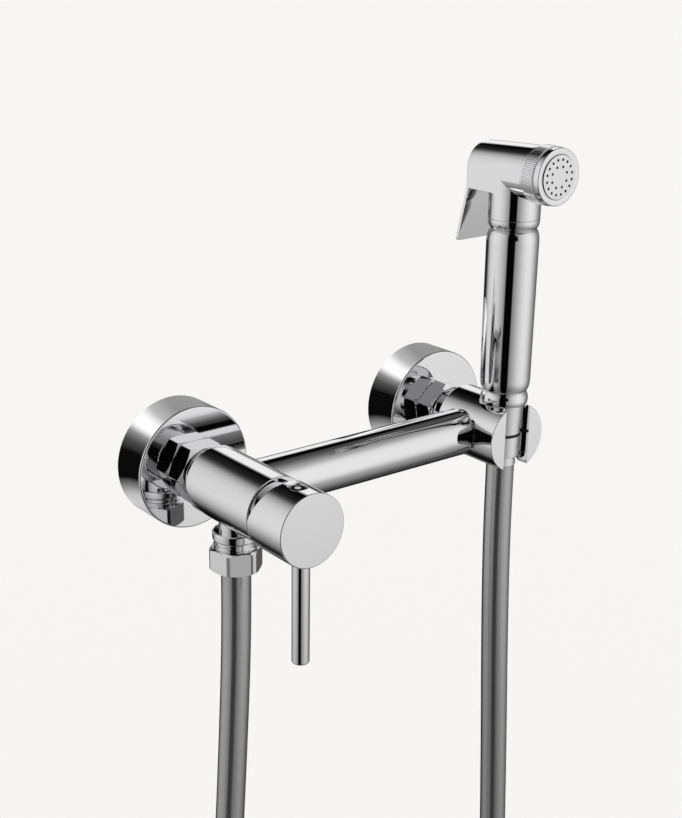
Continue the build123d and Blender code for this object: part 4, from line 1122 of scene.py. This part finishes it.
class MIXER_OT_nozzle(bpy.types.Operator):
    """Make the knurled ring and the rose plate"""

    bl_idname = "mixer.nozzle"
    bl_label = "Knurled ring and rose"

    def execute(self, context):
        place, size = context.scene.mixer_layout, context.scene.mixer_spray
        steps = 4 * size.knurl_teeth
        start = size.collar_length
        knurl, face = start + size.knurl_length, size.nozzle_length
        lip = face - size.nozzle_lip
        thread = size.nozzle_thread
        lead = 0.0002
        outline = [
            (thread, 0),
            (size.collar_radius - lead, 0),
            (size.collar_radius, lead),
            (size.collar_radius, start),
            (size.knurl_radius - size.knurl_depth, start),
            (size.knurl_radius, start + lead),
            (size.knurl_radius, knurl - 0.0003),
        ]
        half = (size.rim_start - knurl) / 2
        brim = size.knurl_radius - size.knurl_depth - 0.0001
        outline += arc(brim, knurl + half, brim - size.groove_radius, half, 270, 100, 12)
        outline += [(size.rim_radius, size.rim_start)]
        outline += front_edge(size.rim_radius, face, size.rim_edge, 6)
        outline += arc(size.opening + lead, face - lead, lead, lead, 90, 180, 3)
        outline += [(size.opening, lip), (thread, lip)]
        ring = turned(outline, steps)
        notch(ring, size.knurl_radius, size.knurl_depth, steps)
        front = place.spray_out + size.head_front
        ring = from_wall(ring, place.right_x, place.head_height, front)
        finished(ring, "nozzle_ring", "chrome", "handset", "knurled_ring")
        back = lip - size.rose_flange
        rim = size.opening - 2 * FIT
        top = face + size.rose_rise
        plate = turned(
            [(0, back), (size.rose_radius, back), (size.rose_radius, lip), (rim, lip)]
            + front_edge(rim, top, lead, 3)
            + [(0, top)],
            256,
        )
        drill = bmesh.new()
        rings = ((size.rose_outer, size.rose_outer_count), (size.rose_inner, size.rose_inner_count))
        for radius, count in rings:
            for i in range(count):
                turn = 2 * math.pi * (i + 0.5) / count
                spot = Matrix.Translation((radius * math.cos(turn), radius * math.sin(turn), face - 0.0015))
                bmesh.ops.create_cone(
                    drill, cap_ends=True, segments=20, radius1=size.rose_hole, radius2=size.rose_hole,
                    depth=0.008, matrix=spot,
                )
        plate = from_wall(combined(plate, drill), place.right_x, place.head_height, front)
        rose = finished(plate, "rose_face", "rose_chrome", "handset", "rose_plate")
        centre = Vector((place.right_x, place.head_height))
        # Painted shade: the walls of the spray holes get the dark rubber finish as the shadow in them
        paint_hole_shade(rose, lambda face: (
            abs(face.normal.y) < 0.3 and (face.center.xz - centre).length < size.opening
        ))
        return {"FINISHED"}


class MIXER_OT_trigger(bpy.types.Operator):
    """Make the trigger and the valve stem that it lifts"""

    bl_idname = "mixer.trigger"
    bl_label = "Trigger and valve stem"

    def execute(self, context):
        place, size = context.scene.mixer_layout, context.scene.mixer_spray
        half, disc, corner = size.trigger_half, size.trigger_disc, size.trigger_corner
        start = -math.degrees(math.acos(half / disc))
        foot = -size.trigger_bend - size.trigger_length
        outline = arc(0, -size.trigger_disc_drop, disc, disc, start, 180 - start, 64)
        outline += arc(-half + corner, foot + corner, corner, corner, 180, 270, 6)
        outline += arc(half - corner, foot + corner, corner, corner, 270, 360, 6)
        plate = bmesh.new()
        face = plate.faces.new([plate.verts.new((x, 0, z)) for x, z in outline])
        grown = bmesh.ops.extrude_face_region(plate, geom=[face])["geom"]
        thickness = (0, -size.trigger_thickness, 0)
        bmesh.ops.translate(plate, vec=thickness, verts=of_kind(grown, bmesh.types.BMVert))
        bends = 6
        bend_height = 0.0012
        heights = [-size.trigger_bend + bend_height * (0.5 - i / (bends - 1)) for i in range(bends)]
        for height in heights:
            bmesh.ops.bisect_plane(
                plate, geom=list(plate.verts) + list(plate.edges) + list(plate.faces), dist=1e-7,
                plane_co=(0, 0, height), plane_no=(0, 0, 1),
            )
        cleaned(plate)
        rims = [e for e in plate.edges if len(e.link_faces) == 2 and e.calc_face_angle() > math.radians(60)]
        bmesh.ops.bevel(
            plate, geom=rims, offset=0.0002, offset_type="OFFSET", segments=2, profile=0.5, affect="EDGES",
            material=-1,
        )
        plate = combined(plate, self.slit(size))
        for height in heights:
            share = Matrix.Rotation(size.trigger_flare / bends, 4, "X")
            bent = self.below(plate, height)
            pivot = Matrix.Translation((0, 0, height))
            bmesh.ops.transform(plate, matrix=pivot @ share @ pivot.inverted(), verts=bent)
        plate = moved(plate, 0, size.trigger_outer)
        knuckle = self.bar(size.knuckle_radius, size.knuckle_width)
        pin = self.bar(size.pin_hole, 0.02)
        lug = combined(self.lug(size), moved(knuckle, 0, size.pin_out, -size.pin_drop), operation="UNION")
        plate = combined(plate, lug, operation="UNION")
        plate = combined(plate, moved(pin, 0, size.pin_out, -size.pin_drop))
        plate = moved(plate, place.right_x, 0, place.head_height)
        finished(plate, "thumb_trigger", "chrome", "trigger", "trigger")
        outer, inner = size.trigger_outer - 0.0017, size.trigger_outer - 0.0003
        edge = 0.0009
        seal, seal_back, seal_front = 0.0054, 0.0717, 0.0733
        stem = turned(
            [(0, outer)]
            + back_edge(size.stem_head, outer, edge, 6)
            + [
                (size.stem_head, inner),
                (size.stem_radius, inner),
                (size.stem_radius, seal_back),
                (seal, seal_back),
                (seal, seal_front),
                (0, seal_front),
            ],
            96,
        )
        stem = from_wall(stem, place.right_x, place.head_height)
        finished(stem, "push_stem", "stainless", "stem", "valve_stem")
        return {"FINISHED"}

    def slit(self, size):
        """Tall round-ended slit that the stem's head passes through."""
        slit = bmesh.new()
        radius = size.slit_radius
        bmesh.ops.create_cone(slit, cap_ends=True, segments=48, radius1=radius, radius2=radius, depth=0.01)
        slit = from_wall(slit, 0, 0)
        for vert in slit.verts:
            vert.co.z += math.copysign(size.slit_stretch, vert.co.z)
        return slit

    def lug(self, size):
        """Block from the plate to the pin."""
        start = size.trigger_outer + 0.001
        lug = box(size.knuckle_width, size.pin_out - start, 2 * size.knuckle_radius)
        return moved(lug, 0, (size.pin_out + start) / 2, -size.pin_drop)

    def below(self, bm, height):
        return [v for v in bm.verts if v.co.z < height - 1e-6]

    def bar(self, radius, width):
        bm = bmesh.new()
        bmesh.ops.create_cone(bm, cap_ends=True, segments=48, radius1=radius, radius2=radius, depth=width)
        return along_wall(bm, 0, 0)


HOSE_ROUTE = (
    (-0.0750, 0.0533, -0.0305),
    (-0.0750, 0.0533, -0.0605),
    (-0.0778, 0.0534, -0.1184),
    (-0.0827, 0.0538, -0.1943),
    (-0.0875, 0.0545, -0.2761),
    (-0.0892, 0.0555, -0.3461),
    (-0.0845, 0.0566, -0.3949),
    (-0.0717, 0.0578, -0.4310),
    (-0.0481, 0.0591, -0.4576),
    (-0.0165, 0.0605, -0.4717),
    (0.0181, 0.0619, -0.4711),
    (0.0494, 0.0633, -0.4562),
    (0.0725, 0.0646, -0.4291),
    (0.0852, 0.0658, -0.3921),
    (0.0896, 0.0669, -0.3423),
    (0.0878, 0.0679, -0.2703),
    (0.0832, 0.0685, -0.1871),
    (0.0778, 0.0688, -0.1039),
    (0.0750, 0.0688, -0.0420),
    (0.0750, 0.0688, -0.0080),
)


class MIXER_OT_hose(bpy.types.Operator):
    """Hang the hose from the outlet to the hand spray"""

    bl_idname = "mixer.hose"
    bl_label = "Hose"

    def execute(self, context):
        size = context.scene.mixer_hose
        path = self.drawn(0)
        tube = self.drawn(size.radius)
        bm = bmesh.new()
        bm.from_mesh(tube)
        bpy.data.meshes.remove(path)
        bpy.data.meshes.remove(tube)
        cleaned(bm)
        mesh = bpy.data.meshes.new("shower_hose")
        bm.to_mesh(mesh)
        bm.free()
        mesh.shade_smooth()
        mesh.set_sharp_from_angle(angle=math.radians(40))
        mesh.materials.clear()
        mesh.materials.append(finish("hose_silver"))
        hose = bpy.data.objects.new("shower_hose", mesh)
        context.scene.collection.objects.link(hose)
        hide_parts("hose")
        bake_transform(hose)
        return {"FINISHED"}

    def drawn(self, thick):
        """Mesh of the route's smooth line, as a tube if it is given a radius."""
        data = bpy.data.curves.new("route", "CURVE")
        data.dimensions = "3D"
        data.resolution_u = 24
        data.bevel_depth = thick
        data.bevel_resolution = 14
        data.use_fill_caps = thick > 0
        spline = data.splines.new("NURBS")
        spline.points.add(len(HOSE_ROUTE) - 1)
        for point, (x, out, z) in zip(spline.points, HOSE_ROUTE):
            point.co = (x, -out, z, 1)
        spline.order_u = 3
        spline.use_endpoint_u = True
        obj = bpy.data.objects.new("route", data)
        bpy.context.scene.collection.objects.link(obj)
        mesh = bpy.data.meshes.new_from_object(obj.evaluated_get(bpy.context.evaluated_depsgraph_get()))
        bpy.data.objects.remove(obj)
        bpy.data.curves.remove(data)
        return mesh


class MIXER_OT_inner_parts(bpy.types.Operator):
    """Finish the parts that keep their CAD shape"""

    bl_idname = "mixer.inner_parts"
    bl_label = "Inner parts"

    def execute(self, context):
        for part in frame["record"]["subparts"]:
            node = frame["nodes"][part["node"]]
            if not node.material_slots:
                node.data.materials.append(finish(part["material_slot"]))
            for slot in node.material_slots:
                slot.material = finish(part["material_slot"])
        return {"FINISHED"}


def ramp(tree, value, stops):
    """Grey ramp through (place, strength) stops."""
    node = tree.nodes.new("ShaderNodeValToRGB")
    marks = node.color_ramp.elements
    for place, _ in stops[2:]:
        marks.new(place)
    for mark, (place, strength) in zip(marks, sorted(stops)):
        mark.position = place
        mark.color = (strength, strength, strength, 1)
    tree.links.new(value, node.inputs["Fac"])
    return node.outputs["Color"]


def math_node(tree, operation, *values):
    node = tree.nodes.new("ShaderNodeMath")
    node.operation = operation
    for socket, value in zip(node.inputs, values):
        if isinstance(value, (int, float)):
            socket.default_value = value
        else:
            tree.links.new(value, socket)
    return node.outputs[0]


ROUND_LIGHT = (
    (-180, 0.03), (-172, 0.12), (-166, 0.35), (-160, 0.56), (-152, 0.72), (-138, 0.86), (-125, 0.89),
    (-110, 0.86), (-95, 0.73), (-82, 0.57), (-73, 0.42), (-67, 0.28), (-64, 0.002), (-34, 0.002), (-31, 0.27),
    (-23, 0.38), (-7, 0.60), (9, 0.82), (25, 0.96), (36, 0.99), (48, 0.92), (58, 0.80), (66, 0.66),
    (75, 0.49), (85, 0.35), (97, 0.225), (112, 0.15), (119, 0.11), (122, 0.003), (160, 0.003), (180, 0.03),
)
HEIGHT_LIGHT = (
    (-90, 0.25), (-50, 0.34), (-40, 0.42), (-32, 0.55), (-26, 0.75), (-18, 0.92), (-8, 1.0), (18, 1.0),
    (26, 0.97), (32, 0.9), (38, 0.75), (43, 0.6), (50, 0.5), (70, 0.4), (90, 0.4),
)
BACK_ROUND = ((0, 0), (128, 0), (135, 1), (151, 1), (157, 0), (180, 0))
BACK_HEIGHT = ((-90, 0.05), (-30, 0.12), (2, 0.26), (10, 1.0), (29, 1.05), (34, 0.0), (90, 0))
SHADE_ROUND = ((-180, 0), (-58, 0), (-50, 1), (-24, 1), (-18, 0), (180, 0))
SHADE_HEIGHT = ((-90, 0), (0, 0), (5, 0.99), (17, 0.99), (22, 0.9), (28, 0.8), (36, 0), (90, 0))
LIGHT_FIELDS = ((ROUND_LIGHT, HEIGHT_LIGHT), (BACK_ROUND, BACK_HEIGHT), (SHADE_ROUND, SHADE_HEIGHT))
WALL_GLOW = (
    (0, 0.04), (30, 0.12), (56, 0.36), (90, 0.36), (110, 0.62), (121, 1.25), (133, 1.25), (140, 0.36),
    (149, 0.1), (162, 0.004), (192, 0.004), (200, 0.22), (214, 0.66), (226, 0.72), (250, 0.4),
    (290, 0.1), (360, 0.04),
)
WALL_LEAN = math.radians(145)


class MIXER_OT_stage(bpy.types.Operator):
    """Set the camera, the studio's light and the floor"""

    bl_idname = "mixer.stage"
    bl_label = "Camera, studio and floor"

    def execute(self, context):
        scene, look = context.scene, context.scene.mixer_studio
        data = bpy.data.cameras.new("camera")
        data.lens = look.lens
        data.sensor_width = 36
        data.shift_x = look.shift_x
        data.shift_y = look.shift_y
        data.clip_start = 0.01
        data.clip_end = 200
        camera = bpy.data.objects.new("camera", data)
        camera.location = look.camera
        camera.rotation_euler = (math.pi / 2 - look.elevation, 0, look.azimuth)
        scene.collection.objects.link(camera)
        scene.camera = camera
        scene.view_settings.view_transform = "Standard"
        self.studio(scene, look)
        self.floor(scene, look)
        self.wall_card(scene, scene.mixer_layout.left_x, 0.0422, 0.0067)
        self.wall_card(scene, scene.mixer_layout.right_x, 0.046, 0.01)
        return {"FINISHED"}

    def wall_card(self, scene, x, reach, lean):
        """Ring on the wall, mirrored by a flange's side only: its glow changes round the flange."""
        bm = bmesh.new()
        glow = bm.verts.layers.float.new("glow")
        inner = 0.0305
        bmesh.ops.create_circle(bm, segments=120, radius=inner)
        grown = bmesh.ops.extrude_edge_only(bm, edges=list(bm.edges))["geom"]
        for vert in grown:
            if isinstance(vert, bmesh.types.BMVert):
                turn = math.atan2(vert.co.y, vert.co.x)
                vert.co *= (reach + lean * math.cos(turn - WALL_LEAN)) / inner
        for vert in bm.verts:
            turn = math.degrees(math.atan2(vert.co.y, vert.co.x)) % 360
            for (a, low), (b, high) in zip(WALL_GLOW, WALL_GLOW[1:]):
                if a <= turn <= b:
                    vert[glow] = low + (high - low) * (turn - a) / (b - a)
        card = from_wall(bm, x, scene.mixer_layout.axis_height, -0.004)
        mesh = bpy.data.meshes.new("wall_card")
        card.to_mesh(mesh)
        card.free()
        paint = bpy.data.materials.new("wall_card_glow")
        paint.use_nodes = True
        tree = paint.node_tree
        tree.nodes.clear()
        shade = node_of(tree, "ShaderNodeEmission", Color=(1, 1, 1, 1))
        level = tree.nodes.new("ShaderNodeAttribute")
        level.attribute_name = "glow"
        tree.links.new(level.outputs["Fac"], shade.inputs["Strength"])
        out = tree.nodes.new("ShaderNodeOutputMaterial")
        tree.links.new(shade.outputs[0], out.inputs["Surface"])
        mesh.materials.append(paint)
        obj = bpy.data.objects.new("wall_card", mesh)
        scene.collection.objects.link(obj)
        for rays in ("camera", "diffuse", "transmission", "volume_scatter", "shadow"):
            setattr(obj, "visible_" + rays, False)

    def studio(self, scene, look):
        """Pale studio that the metal mirrors as a wide soft light, a low one behind and a dark patch."""
        world = bpy.data.worlds.new("studio")
        world.use_nodes = True
        scene.world = world
        tree = world.node_tree
        tree.nodes.clear()
        place = tree.nodes.new("ShaderNodeTexCoord")
        split = tree.nodes.new("ShaderNodeSeparateXYZ")
        tree.links.new(place.outputs["Generated"], split.inputs[0])
        x, y, z = split.outputs
        turn = math_node(tree, "ARCTAN2", x, math_node(tree, "MULTIPLY", y, -1.0))
        turn = math_node(tree, "MULTIPLY_ADD", turn, 0.5 / math.pi, 0.5)
        rise = math_node(tree, "MULTIPLY_ADD", math_node(tree, "ARCSINE", z), 1 / math.pi, 0.5)
        fields = []
        for round_stops, height_stops in LIGHT_FIELDS:
            around = ramp(tree, turn, [(0.5 + a / 360, s) for a, s in round_stops])
            upward = ramp(tree, rise, [(0.5 + e / 180, s) for e, s in height_stops])
            fields.append(math_node(tree, "MULTIPLY", around, upward))
        soft, back, shade = fields
        walls = math_node(tree, "ADD", soft, back)
        walls = math_node(tree, "MULTIPLY", walls, math_node(tree, "SUBTRACT", 1.0, shade))
        mirrored = node_of(tree, "ShaderNodeBackground", Color=(1, 1, 1, 1))
        tree.links.new(walls, mirrored.inputs["Strength"])
        plain = tree.nodes.new("ShaderNodeBackground")
        plain.inputs["Color"].default_value = (*look.backdrop, 1)
        rays = tree.nodes.new("ShaderNodeLightPath")
        mix = tree.nodes.new("ShaderNodeMixShader")
        tree.links.new(rays.outputs["Is Glossy Ray"], mix.inputs["Fac"])
        tree.links.new(plain.outputs[0], mix.inputs[1])
        tree.links.new(mirrored.outputs[0], mix.inputs[2])
        out = tree.nodes.new("ShaderNodeOutputWorld")
        tree.links.new(mix.outputs[0], out.inputs["Surface"])

    def floor(self, scene, look):
        bm = bmesh.new()
        bmesh.ops.create_grid(bm, x_segments=2, y_segments=2, size=60)
        bmesh.ops.translate(bm, vec=(0, 0, cad_low.z - look.floor_drop), verts=bm.verts)
        mesh = bpy.data.meshes.new("floor")
        bm.to_mesh(mesh)
        bm.free()
        paint = bpy.data.materials.new("floor_paint")
        paint.use_nodes = True
        shader = paint.node_tree.nodes["Principled BSDF"]
        shader.inputs["Base Color"].default_value = (1, 1, 1, 1)
        shader.inputs["Roughness"].default_value = 1.0
        shader.inputs["Specular IOR Level"].default_value = 0.0
        mesh.materials.append(paint)
        floor = bpy.data.objects.new("floor", mesh)
        scene.collection.objects.link(floor)
        floor.visible_glossy = False


GROUPS = (
    ("mixer_layout", MixerLayout), ("mixer_wall", WallSide), ("mixer_valve", ValveSizes),
    ("mixer_lever", LeverSizes), ("mixer_holder", HolderSizes), ("mixer_spray", SpraySizes),
    ("mixer_hose", HoseSizes), ("mixer_finishes", Finishes), ("mixer_studio", StudioSettings),
)
STEPS = (
    MIXER_OT_stage, MIXER_OT_hose, MIXER_OT_wall_flanges, MIXER_OT_unions, MIXER_OT_valve_body,
    MIXER_OT_crossbar, MIXER_OT_outlet, MIXER_OT_valve_rings, MIXER_OT_lever, MIXER_OT_holder,
    MIXER_OT_cone_nut, MIXER_OT_spray_handle, MIXER_OT_spray_head, MIXER_OT_nozzle, MIXER_OT_trigger,
    MIXER_OT_inner_parts,
)


class MIXER_PT_panel(bpy.types.Panel):
    """Lists the mixer's pieces"""

    bl_label = "Mixer"
    bl_idname = "MIXER_PT_panel"
    bl_space_type = "VIEW_3D"
    bl_region_type = "UI"
    bl_category = "Mixer"

    def draw(self, context):
        for step in STEPS:
            self.layout.operator(step.bl_idname)


def register():
    for _, group in GROUPS:
        bpy.utils.register_class(group)
    for name, group in GROUPS:
        setattr(bpy.types.Scene, name, PointerProperty(type=group))
    for step in STEPS:
        bpy.utils.register_class(step)
    bpy.utils.register_class(MIXER_PT_panel)


def unregister():
    bpy.utils.unregister_class(MIXER_PT_panel)
    for step in reversed(STEPS):
        bpy.utils.unregister_class(step)
    for name, group in reversed(GROUPS):
        delattr(bpy.types.Scene, name)
        bpy.utils.unregister_class(group)


def main():
    register()
    for step in STEPS:
        area, name = step.bl_idname.split(".")
        getattr(getattr(bpy.ops, area), name)()


if __name__ == "__main__":
    main()
